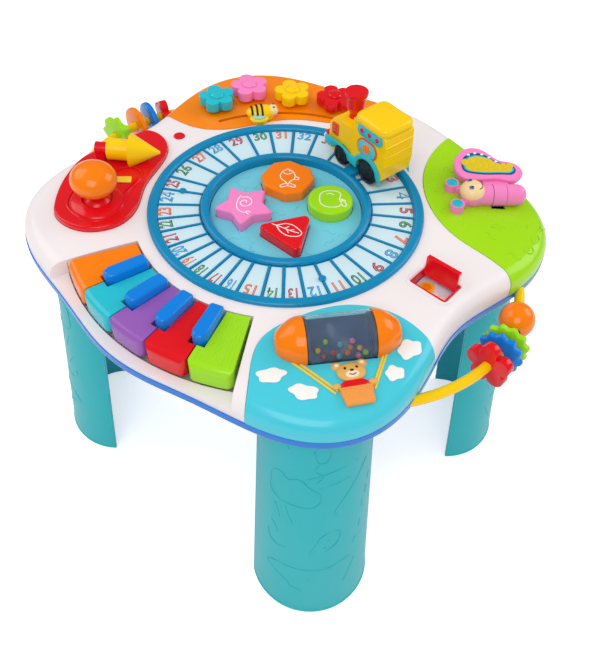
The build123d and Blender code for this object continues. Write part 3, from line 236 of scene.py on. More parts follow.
def turned(x, y, z, turn, lean=0.0):
    """Place on the table: millimetres from the deck, turned about Z and then leaned about X."""
    return (Matrix.Translation((x * MM, y * MM, DECK + z * MM)) @ Matrix.Rotation(radians(turn), 4, "Z")
            @ Matrix.Rotation(radians(lean), 4, "X"))


def settle(obj, name, body, finish, place=None, crowned=False, angle=35):
    """Puts a modelled piece in place, gives it its finish and lets it ride its body."""
    obj.name = name
    obj.data.name = name
    obj.data.transform(obj.matrix_world)
    obj.matrix_world = Matrix.Identity(4)
    if place is not None:
        obj.data.transform(place)
    if crowned:
        for vertex in obj.data.vertices:
            vertex.co.z -= fall(vertex.co.x, vertex.co.y)
    obj.data.materials.clear()
    obj.data.materials.append(finish)
    bpy.ops.object.select_all(action="DESELECT")
    obj.select_set(True)
    bpy.context.view_layer.objects.active = obj
    bpy.ops.object.mode_set(mode="EDIT")
    bpy.ops.mesh.select_all(action="SELECT")
    bpy.ops.mesh.remove_doubles(threshold=0.000005)
    bpy.ops.mesh.normals_make_consistent(inside=False)
    bpy.ops.object.mode_set(mode="OBJECT")
    bpy.ops.object.shade_smooth_by_angle(angle=radians(angle))
    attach(obj, body)
    return obj


def apply(obj, kind, **settings):
    """Adds a modifier to an object and applies it."""
    bpy.ops.object.select_all(action="DESELECT")
    obj.select_set(True)
    bpy.context.view_layer.objects.active = obj
    made = obj.modifiers.new(kind, kind)
    for key, value in settings.items():
        setattr(made, key, value)
    bpy.ops.object.modifier_apply(modifier=made.name)


def joined(objs):
    """Several mesh objects joined into the first."""
    bpy.ops.object.select_all(action="DESELECT")
    for obj in objs:
        obj.select_set(True)
    bpy.context.view_layer.objects.active = objs[0]
    bpy.ops.object.join()
    return objs[0]


def tile(outline, low, high, bevel=0.3, holes=False):
    """Flat tile with rounded top edges from a plan outline in millimetres."""
    bpy.ops.object.select_all(action="DESELECT")
    bpy.ops.mesh.primitive_circle_add(vertices=len(outline), radius=1.0, fill_type="NGON")
    obj = bpy.context.object
    for vertex, (x, y) in zip(obj.data.vertices, outline):
        vertex.co = (x * MM, y * MM, low * MM)
    bpy.ops.object.mode_set(mode="EDIT")
    bpy.ops.mesh.select_all(action="SELECT")
    bpy.ops.mesh.extrude_region_move(TRANSFORM_OT_translate={"value": (0, 0, (high - low) * MM)})
    bpy.ops.mesh.select_all(action="SELECT")
    bpy.ops.mesh.normals_make_consistent(inside=False)
    bpy.ops.object.mode_set(mode="OBJECT")
    if bevel:
        apply(obj, "BEVEL", width=bevel * MM, segments=2 if bevel < 2 else 5, limit_method="ANGLE",
              angle_limit=radians(50))
    return obj


def stroke(points, radius, closed=False, flat=1.0):
    """Round bar along a smooth line through points in millimetres."""
    curve = bpy.data.curves.new("stroke", "CURVE")
    curve.dimensions = "3D"
    curve.bevel_depth = radius * MM
    curve.bevel_resolution = 3
    curve.resolution_u = 8
    curve.use_fill_caps = True
    line = curve.splines.new("BEZIER")
    line.bezier_points.add(len(points) - 1)
    for knot, point in zip(line.bezier_points, points):
        knot.co = Vector(point) * MM
        knot.handle_left_type = knot.handle_right_type = "AUTO"
    line.use_cyclic_u = closed
    obj = bpy.data.objects.new("stroke", curve)
    bpy.context.scene.collection.objects.link(obj)
    bpy.ops.object.select_all(action="DESELECT")
    obj.select_set(True)
    bpy.context.view_layer.objects.active = obj
    bpy.ops.object.convert(target="MESH")
    made = bpy.context.object
    if flat != 1.0:
        made.data.transform(Matrix.Scale(flat, 4, (0, 0, 1)))
    return made


def pebble(x, y, z, wide, deep, high):
    """Ellipsoid with its size in millimetres."""
    bpy.ops.object.select_all(action="DESELECT")
    bpy.ops.mesh.primitive_uv_sphere_add(segments=28, ring_count=16, radius=1.0)
    obj = bpy.context.object
    obj.data.transform(Matrix.Translation((x * MM, y * MM, z * MM))
                       @ Matrix.Diagonal((wide / 2 * MM, deep / 2 * MM, high / 2 * MM, 1)))
    return obj


def oval(wide, deep, x=0.0, y=0.0, count=28, start=0.0, end=360.0):
    """Outline of an ellipse in millimetres."""
    return [(x + wide / 2 * cos(radians(start + (end - start) * step / count)),
             y + deep / 2 * sin(radians(start + (end - start) * step / count)))
            for step in range(count)]


def rounded(wide, deep, corner, x=0.0, y=0.0):
    """Outline of a rectangle with round corners in millimetres."""
    points = []
    for sx, sy, start in ((1, 1, 0), (-1, 1, 90), (-1, -1, 180), (1, -1, 270)):
        for step in range(6):
            turn = radians(start + 18 * step)
            points.append((x + sx * (wide / 2 - corner) + corner * cos(turn),
                           y + sy * (deep / 2 - corner) + corner * sin(turn)))
    return points


def lobed(radius, depth, lobes, start=0.0, count=72):
    """Outline with round lobes in millimetres."""
    points = []
    for step in range(count):
        turn = 2 * pi * step / count
        reach = radius + depth * cos(lobes * (turn - radians(start)))
        points.append((reach * cos(turn), reach * sin(turn)))
    return points


def petals(radius, count, start):
    """Outline of a flower with round petals."""
    points = []
    for step in range(150):
        turn = 2 * pi * step / 150
        lobe = abs(cos(count / 2 * (turn - radians(start))))
        reach = radius * (0.60 + 0.40 * lobe ** 0.6)
        points.append((reach * cos(turn), reach * sin(turn)))
    return points


# ------------------------------------------------------------------ printed plates and numbers

PLATE = moulded("printed_plate_card", linear(205, 230, 238), rough=0.5, coat=0.3)
PRINT = {"cyan": moulded("cyan_print", linear(16, 146, 200), rough=0.5, coat=0.3),
         "orange": moulded("orange_print", linear(226, 92, 28), rough=0.5, coat=0.3),
         "green": moulded("green_print", linear(16, 118, 48), rough=0.5, coat=0.3),
         "red": moulded("dark_red_print", linear(176, 16, 46), rough=0.5, coat=0.3),
         "white": moulded("white_print", linear(246, 244, 240), rough=0.45, coat=0.3),
         "black": moulded("black_print", linear(26, 24, 28), rough=0.4, coat=0.3)}
EDGES = (101.0, 86.2, 71.4, 56.6, 44.7, 34.3, 24.5, 12.8, 2.5, -9.5, -19.8, -30.5, -40.8, -49.8, -58.6,
         -69.3, -77.0, -85.0, -93.3, -101.1, -109.9, -120.3, -129.0, -138.9, -150.1, -159.4, -173.6,
         -184.4, -194.9, -209.0, -220.7, -232.5, -244.2, -259.0)


def track_plates():
    """Pale printed plates on the track's floor, between its ribs."""
    gap, inner, outer = 1.45, 79.0, 115.4
    tiles = []
    for start, end in zip(EDGES, EDGES[1:]):
        near, far = [], []
        for step in range(5):
            share = step / 4
            for radius, edge in ((inner, near), (outer, far)):
                trim = degrees_of(gap, radius)
                turn = radians(end + trim + (start - end - 2 * trim) * share)
                edge.append((radius * cos(turn), radius * sin(turn)))
        tiles.append(tile(near[::-1] + far, -0.4, 0.05, bevel=0.12))
    settle(joined(tiles), "number_plates", "table", PLATE, Matrix.Translation((0, 0, DECK)))


def degrees_of(length, radius):
    """Angle of a short length at a radius."""
    return length / radius * 180 / pi


def lettering(text, size, spread):
    """Flat text mesh about the origin, its outline moved out by spread."""
    bpy.ops.object.select_all(action="DESELECT")
    bpy.ops.object.text_add()
    obj = bpy.context.object
    obj.data.body = text
    obj.data.size = size * MM
    obj.data.align_x = "CENTER"
    obj.data.align_y = "CENTER"
    obj.data.offset = spread * MM
    obj.data.extrude = 0.06 * MM
    obj.data.resolution_u = 3
    bpy.ops.object.convert(target="MESH")
    return bpy.context.object


def track_numbers():
    """Numbers from 1 round the track in four colours, each with a pale middle line."""
    groups = {"cyan": [], "red": [], "green": [], "orange": []}
    inner = []
    order = ("cyan", "red", "green", "orange")
    for index, (start, end) in enumerate(zip(EDGES, EDGES[1:])):
        place = (Matrix.Rotation(radians((start + end) / 2), 4, "Z") @ Matrix.Translation((108.6 * MM, 0, 0))
                 @ Matrix.Rotation(radians(-90), 4, "Z"))
        room = (start - end) / degrees_of(1.0, 104) - 4.2
        digits = len(str(index + 1))
        wide = Matrix.Diagonal((min(1.15 if digits == 1 else 0.86, room / (9.6 * digits)), 1.0, 1.0, 1.0))
        outer_text = lettering(str(index + 1), 16.0, 0.42)
        outer_text.data.transform(place @ wide)
        groups[order[(index + 1) % 4]].append(outer_text)
        inner_text = lettering(str(index + 1), 16.0, -0.62)
        inner_text.data.transform(Matrix.Translation((0, 0, 0.08 * MM)) @ place @ wide)
        inner.append(inner_text)
    lift = Matrix.Translation((0, 0, DECK + 0.1 * MM))
    for colour, texts in groups.items():
        settle(joined(texts), "numbers_" + colour, "table", PRINT[colour], lift)
    settle(joined(inner), "numbers_inlay", "table", PLATE, lift)


# ------------------------------------------------------------------ shape buttons

BUTTON_TOP = 5.5
MOTIFS = {
    "star_button": ((-26.3, -27.0), -60, [
        [(-7, -4), (-8, 1), (-4, 5), (1, 4), (3, 0), (1, -3), (-2, -3), (-4, -1), (-3, 1), (-1, 1)],
        [(-9, -5), (-3, -6), (5, -5), (9, -2), (10, 3), (8, 4)], [(8, 4), (9, 7)], [(9.6, 3.6), (12, 6)]]),
    "round_button": ((26.8, 30.6), -49, [
        [(0, 7), (-7, 8), (-10, 1), (-7, -7), (0, -8.5), (7, -7), (10, 1), (7, 8), (0, 7)],
        [(0, 7), (0.6, 10), (2.5, 12)], [(1, 9), (5, 12), (9, 11), (6, 8.6), (1, 9)],
        [(-5, 3), (-6.5, 0), (-5.5, -3)]]),
    "triangle_button": ((26.3, -26.6), -20, [
        [(-9, -6), (-6, 3), (3, 7), (9, 6), (8, -1), (1, -6), (-9, -6)],
        [(-12, -8), (-6, -4), (2, 1), (7, 5)], [(-3, -2), (-3, 2)], [(1, 1), (2, 4)],
        [(-1, -1), (3, -2)]]),
    "octagon_button": ((-23.2, 28.6), -49, [
        [(-10, 0), (-5, 5), (2, 5.5), (8, 1), (11, 0)], [(-10, 0), (-5, -5), (2, -5.5), (8, -1), (11, 0)],
        [(8, 1), (13, 6), (12, 0), (13, -6), (8, -1)], [(-5, 4), (-3, 0), (-5, -4)],
        [(-1, 5.5), (3, 9), (4, 5)], [(-8, 1), (-7.4, 1.8), (-6.8, 1)]]),
}


def motifs():
    """White line motif on each shape button."""
    for name, ((x, y), turn, lines) in MOTIFS.items():
        made = [stroke([(1.15 * px, 1.15 * py, 0) for px, py in line], 0.45, flat=0.35) for line in lines]
        settle(joined(made), name + "_motif", name, PRINT["white"],
               turned(x, y, BUTTON_TOP + 0.02, turn))


# ------------------------------------------------------------------ balloon corner

CLOUDS = [((119, -152), 22, 13, 50), ((147, -146.5), 22, 13, 30), ((182, -61), 21, 16, 80),
          ((187, -87), 15, 13, 60)]
ROPE = moulded("yellow_rope_relief", linear(240, 205, 60), rough=0.35)
BASKET_ORANGE = moulded("basket_orange_relief", linear(244, 160, 74), rough=0.4, grain=0.3)
FUR = moulded("rider_golden_print", linear(232, 176, 90), rough=0.45)
BAFFLE = moulded("drum_baffle_blue", linear(20, 92, 150), rough=0.25)
MUZZLE = moulded("rider_cream_print", linear(250, 226, 190), rough=0.45)


def clouds():
    """Flat white clouds on the teal cover."""
    made = []
    for (x, y), wide, deep, turn in CLOUDS:
        shape = []
        for step in range(48):
            angle = 2 * pi * step / 48
            reach = 1 + 0.10 * cos(5 * angle + x) + 0.07 * cos(3 * angle + y)
            shape.append((wide / 2 * reach * cos(angle), deep / 2 * reach * sin(angle)))
        one = tile(shape, 0.0, 0.9, bevel=0.4)
        one.data.transform(turned(x, y, 0.55, turn))
        made.append(one)
    settle(joined(made), "clouds", "table", PRINT["white"], crowned=True)


BASKET_PLACE = (174.5, -118.5, 53.0)


def rider():
    """Small round eared rider in a red shirt over the basket."""
    x, y, turn = BASKET_PLACE
    place = turned(x, y, 0.4 - fall(x * MM, y * MM) / MM, turn) @ Matrix.Diagonal((1.35, 1.25, 1.1, 1))
    head = [pebble(0, 12.5, 2.2, 17, 14.5, 5.4), pebble(-7.4, 18.2, 1.9, 6.4, 6.4, 3.6),
            pebble(7.4, 18.2, 1.9, 6.4, 6.4, 3.6), pebble(-10.5, 3.2, 1.8, 5.0, 4.6, 3.4),
            pebble(10.5, 3.2, 1.8, 5.0, 4.6, 3.4)]
    settle(joined(head), "rider_head", "table", FUR, place)
    face = [pebble(0, 10.0, 3.6, 8.6, 6.4, 3.6), pebble(-7.4, 18.2, 2.8, 3.4, 3.4, 2.4),
            pebble(7.4, 18.2, 2.8, 3.4, 3.4, 2.4)]
    settle(joined(face), "rider_muzzle", "table", MUZZLE, place)
    dots = [pebble(-3.4, 14.2, 4.6, 1.5, 2.1, 0.8), pebble(3.4, 14.2, 4.6, 1.5, 2.1, 0.8),
            pebble(0, 11.8, 5.35, 2.4, 1.6, 0.7),
            stroke([(-2.0, 9.3, 5.25), (0, 8.4, 5.4), (2.0, 9.3, 5.25)], 0.28)]
    settle(joined(dots), "rider_features", "table", PRINT["black"], place)
    shirt = [pebble(0, 3.0, 1.6, 17, 9, 4.4)]
    settle(joined(shirt), "rider_shirt", "table", RED, place)


def basket():
    """Woven basket relief that stands for the plain one."""
    x, y, turn = BASKET_PLACE
    place = turned(x, y, 0.3 - fall(x * MM, y * MM) / MM, turn)
    body = tile([(-13, 0.5), (-11, -14), (11, -14), (13, 0.5)], -1.0, 3.6, bevel=1.0)
    weave = [body]
    for row in range(5):
        height = -1.6 - 2.6 * row
        half = 12.6 - 0.14 * (0.5 - height)
        weave.append(stroke([(-half, height, 3.5), (half, height, 3.5)], 0.55))
    for column in range(-5, 6):
        weave.append(stroke([(column * 2.3, 0.2, 3.55), (column * 2.0, -13.5, 3.55)], 0.38))
    weave.append(stroke([(-13, 0.4, 3.4), (13, 0.4, 3.4)], 0.95))
    made = settle(joined(weave), "woven_basket", "table", BASKET_ORANGE, place)
    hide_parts("balloon_basket")


def ropes():
    """Two pairs of ropes in relief from the balloon's ends to the basket."""
    made = []
    for start, end in (((121.5, -130.0), (165.5, -129.0)), ((123.5, -132.8), (166.0, -131.8)),
                       ((169.0, -76.0), (182.0, -107.0)), ((171.8, -77.6), (184.6, -108.6))):
        points = [(start[0] + (end[0] - start[0]) * step / 8, start[1] + (end[1] - start[1]) * step / 8,
                   1.0) for step in range(9)]
        made.append(stroke(points, 0.95))
    settle(joined(made), "ropes", "table", ROPE, Matrix.Translation((0, 0, DECK)), crowned=True)


def drum_inside():
    """Wavy baffle, end discs and coloured beads in the clear drum."""
    place = turned(135, -92, 1.5, 50)
    ends = []
    for side in (-1, 1):
        bpy.ops.object.select_all(action="DESELECT")
        bpy.ops.mesh.primitive_cylinder_add(vertices=64, radius=18.7 * MM, depth=1.8 * MM,
                                            location=(side * 25.6 * MM, 0, 0), rotation=(0, pi / 2, 0))
        disc = bpy.context.object
        disc.data.transform(disc.matrix_world)
        disc.matrix_world = Matrix.Identity(4)
        ends.append(disc)
        bpy.ops.mesh.primitive_cylinder_add(vertices=32, radius=2.5 * MM, depth=4.4 * MM,
                                            location=(side * 28.2 * MM, 0, 0), rotation=(0, pi / 2, 0))
        pin = bpy.context.object
        pin.data.transform(pin.matrix_world)
        pin.matrix_world = Matrix.Identity(4)
        ends.append(pin)
    bpy.ops.object.select_all(action="DESELECT")
    bpy.ops.mesh.primitive_grid_add(x_subdivisions=60, y_subdivisions=40, size=1)
    sheet = bpy.context.object
    for vertex in sheet.data.vertices:
        x, y = vertex.co.x * 50, vertex.co.y * 35
        wave = 1.6 * sin(x / 5.2) * cos(y / 9.0)
        vertex.co = (x * MM, y * MM, wave * MM)
    apply(sheet, "SOLIDIFY", thickness=1.2 * MM, offset=0)
    ends.append(sheet)
    inside = settle(joined(ends), "drum_baffle", "drum", BAFFLE, place @ Matrix.Rotation(radians(28), 4, "X"))
    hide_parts("drum_filling")
    colours = (YELLOW, GREEN, RED, TEAL, ORANGE, PINK)
    spots = [(-18, -9), (-11, -3), (-6, -12), (0, -6), (5, -13), (10, -4), (15, -10), (19, -14),
             (-14, -14), (-2, -15), (8, -9), (13, -16)]
    groups = {}
    for index, (x, y) in enumerate(spots):
        groups.setdefault(index % 6, []).append(pebble(x, y, 4.6, 4.6, 4.6, 4.6))
    for index, beads in groups.items():
        settle(joined(beads), "drum_beads_%d" % index, "drum", colours[index],
               place @ Matrix.Rotation(radians(28), 4, "X"))


# ------------------------------------------------------------------ butterfly corner

WINDOW_BLUE = moulded("window_edge_blue_print", linear(14, 84, 140), rough=0.3)
WINDOW_YELLOW = moulded("crinkle_yellow_film", linear(226, 196, 24), rough=0.3)
EYE_BLUE = moulded("eye_blue_print", linear(40, 120, 190), rough=0.3)
BUTTERFLY = (137, 140, 5, 43)
WING_LOBES = [(20, 20), (24.5, 27), (19, 34), (5, 38), (-7, 47.5), (-20, 51), (-31, 44.5), (-34.5, 32),
              (-30, 23.5), (-12, 20), (6, 20)]


def smooth_loop(points, count=72):
    """Closed smooth outline through points."""
    made = []
    total = len(points)
    for step in range(count):
        at = step / count * total
        index = int(at)
        t = at - index
        a, b, c, d = (points[(index + k) % total] for k in (-1, 0, 1, 2))
        made.append(tuple(0.5 * (2 * b[k] + (c[k] - a[k]) * t + (2 * a[k] - 5 * b[k] + 4 * c[k] - d[k])
                                 * t ** 2 + (3 * b[k] - a[k] - 3 * c[k] + d[k]) * t ** 3)
                          for k in (0, 1)))
    return made


def face_height(x, y):
    """Height of the butterfly's face over its middle, in millimetres."""
    return 5.0 + 9.25 * sqrt(1 - (x * x + y * y) / 11.8 ** 2)


def butterfly():
    """Printed face, feeler tips and the wing's crinkle window."""
    wing = (turned(*BUTTERFLY) @ Matrix.Translation((0, 13.8 * MM, 0))
            @ Matrix.Rotation(radians(16), 4, "X") @ Matrix.Translation((0, -13.8 * MM, -1 * MM)))
    loop = smooth_loop([((x + 5) * 0.86 - 5, (y - 34) * 0.80 + 34) for x, y in WING_LOBES])
    settle(tile(loop, 5.6, 6.35, bevel=0.3), "wing_window_rim", "wing", WINDOW_BLUE, wing)
    loop = smooth_loop([((x + 5) * 0.80 - 5, (y - 32.6) * 0.66 + 32.6) for x, y in WING_LOBES])
    settle(tile(loop, 5.7, 6.5, bevel=0.3), "wing_window_line", "wing", TEAL, wing)
    loop = smooth_loop([((x + 5) * 0.74 - 5, (y - 32.2) * 0.58 + 32.2) for x, y in WING_LOBES])
    crinkle = [tile(loop, 5.8, 6.7, bevel=0.3)]
    for index in range(8):
        x = -27 + index * 6.0
        y = 32.6 + 2.2 * sin(index * 2.1) - 0.14 * x
        crinkle.append(pebble(x, y, 6.6, 6.6, 11.5 - abs(x + 8) * 0.2, 1.5))
    settle(joined(crinkle), "wing_window_film", "wing", WINDOW_YELLOW, wing)
    loop = smooth_loop([((x + 5) * 0.83 - 5, (y - 34) * 0.75 + 34) for x, y in WING_LOBES])
    dots = [pebble(x, y, 6.4, 3.0, 2.2, 0.9) for x, y in loop[::4] if y > 36 and -27 < x < 8]
    settle(joined(dots), "wing_window_dots", "wing", PRINT["white"], wing)
    head = turned(*BUTTERFLY)
    settle(pebble(-24.5, 0, 5.0, 23.6, 23.6, 18.5), "butterfly_face", "table", CREAM, head)
    eyes = [pebble(-27.6, side * 4.9, face_height(-3.1, 4.9), 4.6, 4.4, 1.8) for side in (-1, 1)]
    settle(joined(eyes), "butterfly_eyes", "table", EYE_BLUE, head)
    smile = [(-20.4, 6.4), (-17.6, 3.8), (-16.6, 0), (-17.6, -3.8), (-20.4, -6.4)]
    marks = [stroke([(x, y, face_height(x + 24.5, y)) for x, y in smile], 0.42)]
    marks += [pebble(-27.0, side * 4.9, face_height(-2.5, 4.9) + 0.6, 2.2, 2.2, 1.0) for side in (-1, 1)]
    settle(joined(marks), "butterfly_smile", "table", PRINT["black"], head)
    tips = []
    for side in (-1, 1):
        tips.append(tile(oval(10.4, 10.4, -40.5, side * 15), 2.4, 3.6, bevel=0.5))
        curl = [(-40.5 + 0.55 * k * cos(1.1 * k), side * 15 + 0.55 * k * sin(1.1 * k), 3.7)
                for k in range(1, 8)]
        tips.append(stroke(curl, 0.4))
    settle(joined(tips), "feeler_tips", "table", TEAL, head)


# ------------------------------------------------------------------ train

def train_place():
    """Frame of the train: X forwards, Y towards the table's middle."""
    angle = radians(79.5)
    return turned(96.9 * cos(angle), 96.9 * sin(angle), 0, 169.5)


def side_tile(outline, y, thick, side, bevel=0.3):
    """Tile that stands on one side of the train: its outline is along and up."""
    made = tile(outline, 0, thick, bevel)
    turn = Matrix.Rotation(radians(90), 4, "X")
    made.data.transform(Matrix.Translation((0, -y * MM, 0)) @ turn)
    if side > 0:
        made.data.transform(Matrix.Diagonal((1, -1, 1, 1)))
    return made


CAB_SIDE = 17.45
BONNET_SIDE = 15.45
CAB_PANE = (-17, 38.5)


def train_sides():
    """Teal skirt, cab windows and their round dots, on both sides of the train."""
    place = train_place()
    skirts, glass, rims, inner = [], [], [], []
    for side in (-1, 1):
        arch = [(-19 + 18.6 * cos(radians(a)), 13.6 + 18.6 * sin(radians(a))) for a in range(178, 20, -12)]
        under = [(-19 + 13.4 * cos(radians(a)), 14.1 + 13.4 * sin(radians(a))) for a in range(-10, 181, 12)]
        nose = [(17 + 11.0 * cos(radians(a)), 11.6 + 11.0 * sin(radians(a))) for a in range(20, 171, 15)]
        skirt = [(-38.6, 9.0)] + arch + [(4, 21.5), (14, 24.6), (39, 24.6), (39, 15.4)] + nose + under
        skirts.append(side_tile(skirt, CAB_SIDE, 2.3, side, bevel=0.7))
        glass.append(side_tile(rounded(32, 12, 5.4, -19, 54.5), CAB_SIDE, 1.3, side))
        rims.append(side_tile(rounded(26, 17.5, 8.5, *CAB_PANE), CAB_SIDE, 1.0, side))
        inner.append(side_tile(rounded(22.5, 14, 6.9, *CAB_PANE), CAB_SIDE, 1.5, side))
    settle(joined(skirts), "train_skirt", "train", TEAL, place)
    settle(joined(glass), "train_windows", "train", TEAL, place)
    settle(joined(rims), "train_window_rims", "train", PRINT["orange"], place)
    settle(joined(inner), "train_window_panes", "train", SKY, place)
    suns = []
    for side in (-1, 1):
        suns.append(side_tile(lobed(4.9, 0.6, 9), CAB_SIDE, 2.0, side, bevel=0.2))
        suns[-1].data.transform(Matrix.Translation((CAB_PANE[0] * MM, 0, CAB_PANE[1] * MM)))
    settle(joined(suns), "train_pane_suns", "train", ORANGE, place)
    dots = []
    for side in (-1, 1):
        for x in (-29, -19, -9):
            dots.append(side_tile(oval(4.6, 4.6, x, 54.5), CAB_SIDE, 1.8, side, bevel=0.2))
    settle(joined(dots), "train_window_dots", "train", RED, place)


def train_front():
    """Lamp bar, lamps, bonnet grille and hook."""
    place = train_place()
    bumper = tile(rounded(6, 33, 2.6, 40, 0), 15.5, 25.0, bevel=1.2)
    settle(bumper, "train_lamp_bar", "train", RED, place)
    lamps = [pebble(43.0, y, 20.5, 2.6, 7.4, 6.6) for y in (-9.5, 0, 9.5)]
    lamps += [pebble(41.0, side * 16.6, 20.5, 4.4, 2.4, 6.0) for side in (-1, 1)]
    settle(joined(lamps), "train_lamps", "train", PRINT["white"], place)
    grille = []
    for side in (-1, 1):
        grille.append(side_tile(rounded(9, 13, 2.0, 29, 34), BONNET_SIDE, 0.9, side))
    settle(joined(grille), "train_side_grille", "train", PRINT["orange"], place)
    marks = []
    for side in (-1, 1):
        for row in range(3):
            bar = rounded(5.6, 1.8, 0.8, 29, 30 + 4 * row)
            marks.append(side_tile(bar, BONNET_SIDE, 1.3, side, bevel=0.2))
    settle(joined(marks), "train_grille_bars", "train", RED, place)
    hook = stroke([(41, 0, 11), (46, 0, 10.5), (49, 0, 12), (49, 0, 15)], 1.7)
    coupler = tile(rounded(10, 12, 2.5, 39, 0), 8.5, 13.5, bevel=1.0)
    settle(joined([hook, coupler]), "train_hook", "train", YELLOW, place)


def wheel_hubs():
    """Caps, rings and spoke dots on both faces of each pair of wheels."""
    place = train_place()
    for node, x, z, radius in (("rear_wheels", -19, 14.1, 12.5), ("front_wheels", 17, 11.6, 10.0)):
        parts = []
        for y in (18.05, -13.05):
            side = 1 if y > 0 else -1
            reach = radius - 2.6
            ring = [(x + reach * cos(radians(a)), y - side * 0.1, z + reach * sin(radians(a)))
                    for a in range(0, 360, 20)]
            parts.append(stroke(ring, 0.75, closed=True))
            parts.append(pebble(x, y, z, 6.0, 2.2, 6.0))
            for a in range(0, 360, 60):
                parts.append(pebble(x + radius * 0.45 * cos(radians(a)), y - side * 0.05,
                                    z + radius * 0.45 * sin(radians(a)), 2.6, 1.0, 2.6))
        settle(joined(parts), node + "_hubs", node, BLACK, place)


def cab_roof():
    """Rounded roof cap with a rolled edge."""
    place = train_place()
    roof = tile(rounded(42.4, 38.6, 8, -17.5, 0), 57.0, 67.6, bevel=4.8)
    settle(roof, "train_roof", "train", YELLOW, place)
    edges = [stroke([(-38.6, -17.0, z), (-38.6, 17.0, z)], 1.0) for z in (30, 40, 50)]
    settle(joined(edges), "train_back_ribs", "train", YELLOW, place)
    bpy.ops.object.select_all(action="DESELECT")
    bpy.ops.mesh.primitive_torus_add(major_radius=9.5 * MM, minor_radius=1.2 * MM, major_segments=48,
                                     minor_segments=14, location=(21 * MM, 0, 70.7 * MM))
    settle(bpy.context.object, "chimney_lip", "chimney", RED, place)


# ------------------------------------------------------------------ garden corner

FLOWERS = {"teal_flower": (-158.0, 72.0, TEAL, 18.4), "pink_flower": (-148.0, 110.0, PINK, 19.6),
           "yellow_flower": (-108.0, 132.4, YELLOW, 18.6), "red_flower": (-69.5, 154.6, RED, 18.6)}
STEMS = {"teal_flower": (-158.0, 72.0), "pink_flower": (-146.0, 108.0), "yellow_flower": (-106.0, 130.0),
         "red_flower": (-68.0, 152.0)}
FLOWER_TURN = -50
CARD = moulded("picture_card", linear(222, 216, 232), rough=0.45)
SUN = moulded("sun_print", linear(255, 184, 20), rough=0.45)
LEAF_GREEN = moulded("pale_wing_print", linear(150, 215, 205), rough=0.35)


def flower_faces():
    """Thick flower with round petals and a domed middle with two eyes and a smile."""
    for name, (x, y, finish, radius) in FLOWERS.items():
        place = turned(x, y, 0, FLOWER_TURN)
        seat = 5.0 - fall(x * MM, y * MM) / MM
        sx, sy = STEMS[name]
        near, aside = radians(FLOWER_TURN), (sx - x, sy - y)
        middle = (aside[0] * cos(near) + aside[1] * sin(near), aside[1] * cos(near) - aside[0] * sin(near))
        stem = tile(oval(10, 10, *middle), seat - 7.0, seat + 4.0, bevel=0.3)
        bloom = joined([tile(petals(radius, 5, -90), seat, seat + 9.4, bevel=2.4), stem])
        settle(bloom, name + "_bloom", name, finish, place)
        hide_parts(name)
        place = turned(x, y, seat + 9.0, FLOWER_TURN)
        settle(pebble(0, 0, 0.8, 15.0, 15.0, 6.0), name + "_dome", name, finish, place)
        eyes = [pebble(side * 2.7, 1.6, 3.4, 1.9, 2.6, 1.2) for side in (-1, 1)]
        eyes.append(stroke([(-2.8, -1.8, 3.5), (0, -3.2, 3.4), (2.8, -1.8, 3.5)], 0.36))
        settle(joined(eyes), name + "_eyes", name, finish, place)


def bee():
    """Stripes, face and printed wing of the bee."""
    angle = 141.0
    seat = 2.5
    place = Matrix.Translation((0, 0, DECK)) @ Matrix.Rotation(radians(angle), 4, "Z")
    settle(pebble(140.5, 1, seat + 5.0, 18.0, 33, 12.4), "bee_body", "bee", YELLOW, place)
    stripes = []
    for y in (1.5, 6.5, 11.5):
        half = 9.2 * sqrt(1 - ((y - 1) / 16.7) ** 2)
        points = [(140.5 + half * cos(radians(a)), y, seat + 5.0 + half / 9.2 * 6.4 * sin(radians(a)))
                  for a in range(0, 181, 15)]
        stripes.append(stroke(points, 1.05))
    settle(joined(stripes), "bee_stripes", "bee", PRINT["black"], place)
    settle(pebble(140.2, -10.0, seat + 6.4, 14.2, 11.0, 10.4), "bee_face", "bee", CREAM, place)
    eyes = [pebble(x, -10.6, seat + 11.0, 1.9, 2.6, 1.3) for x in (137.6, 142.8)]
    eyes.append(stroke([(137.2, -13.6, seat + 9.2), (140.2, -14.4, seat + 9.2),
                        (143.2, -13.6, seat + 9.0)], 0.36))
    settle(joined(eyes), "bee_features", "bee", PRINT["black"], place)
    settle(pebble(132.4, 5, seat + 3.2, 15.6, 19.6, 6.6), "bee_wing", "bee", YELLOW, place)
    settle(tile(oval(10.6, 13.6, 131.8, 5.4), seat + 5.6, seat + 6.65, bevel=0.3), "bee_wing_pad", "bee",
           LEAF_GREEN, place)


# ------------------------------------------------------------------ gear corner, window and beads

def cut_away(obj, cutter):
    """Takes a cutter's shape out of a piece and drops the cutter."""
    cut = obj.modifiers.new("hole", "BOOLEAN")
    cut.operation = "DIFFERENCE"
    cut.object = cutter
    bpy.ops.object.select_all(action="DESELECT")
    obj.select_set(True)
    bpy.context.view_layer.objects.active = obj
    bpy.ops.object.modifier_apply(modifier=cut.name)
    bpy.data.objects.remove(cutter)


LEVER = (-127, -112)


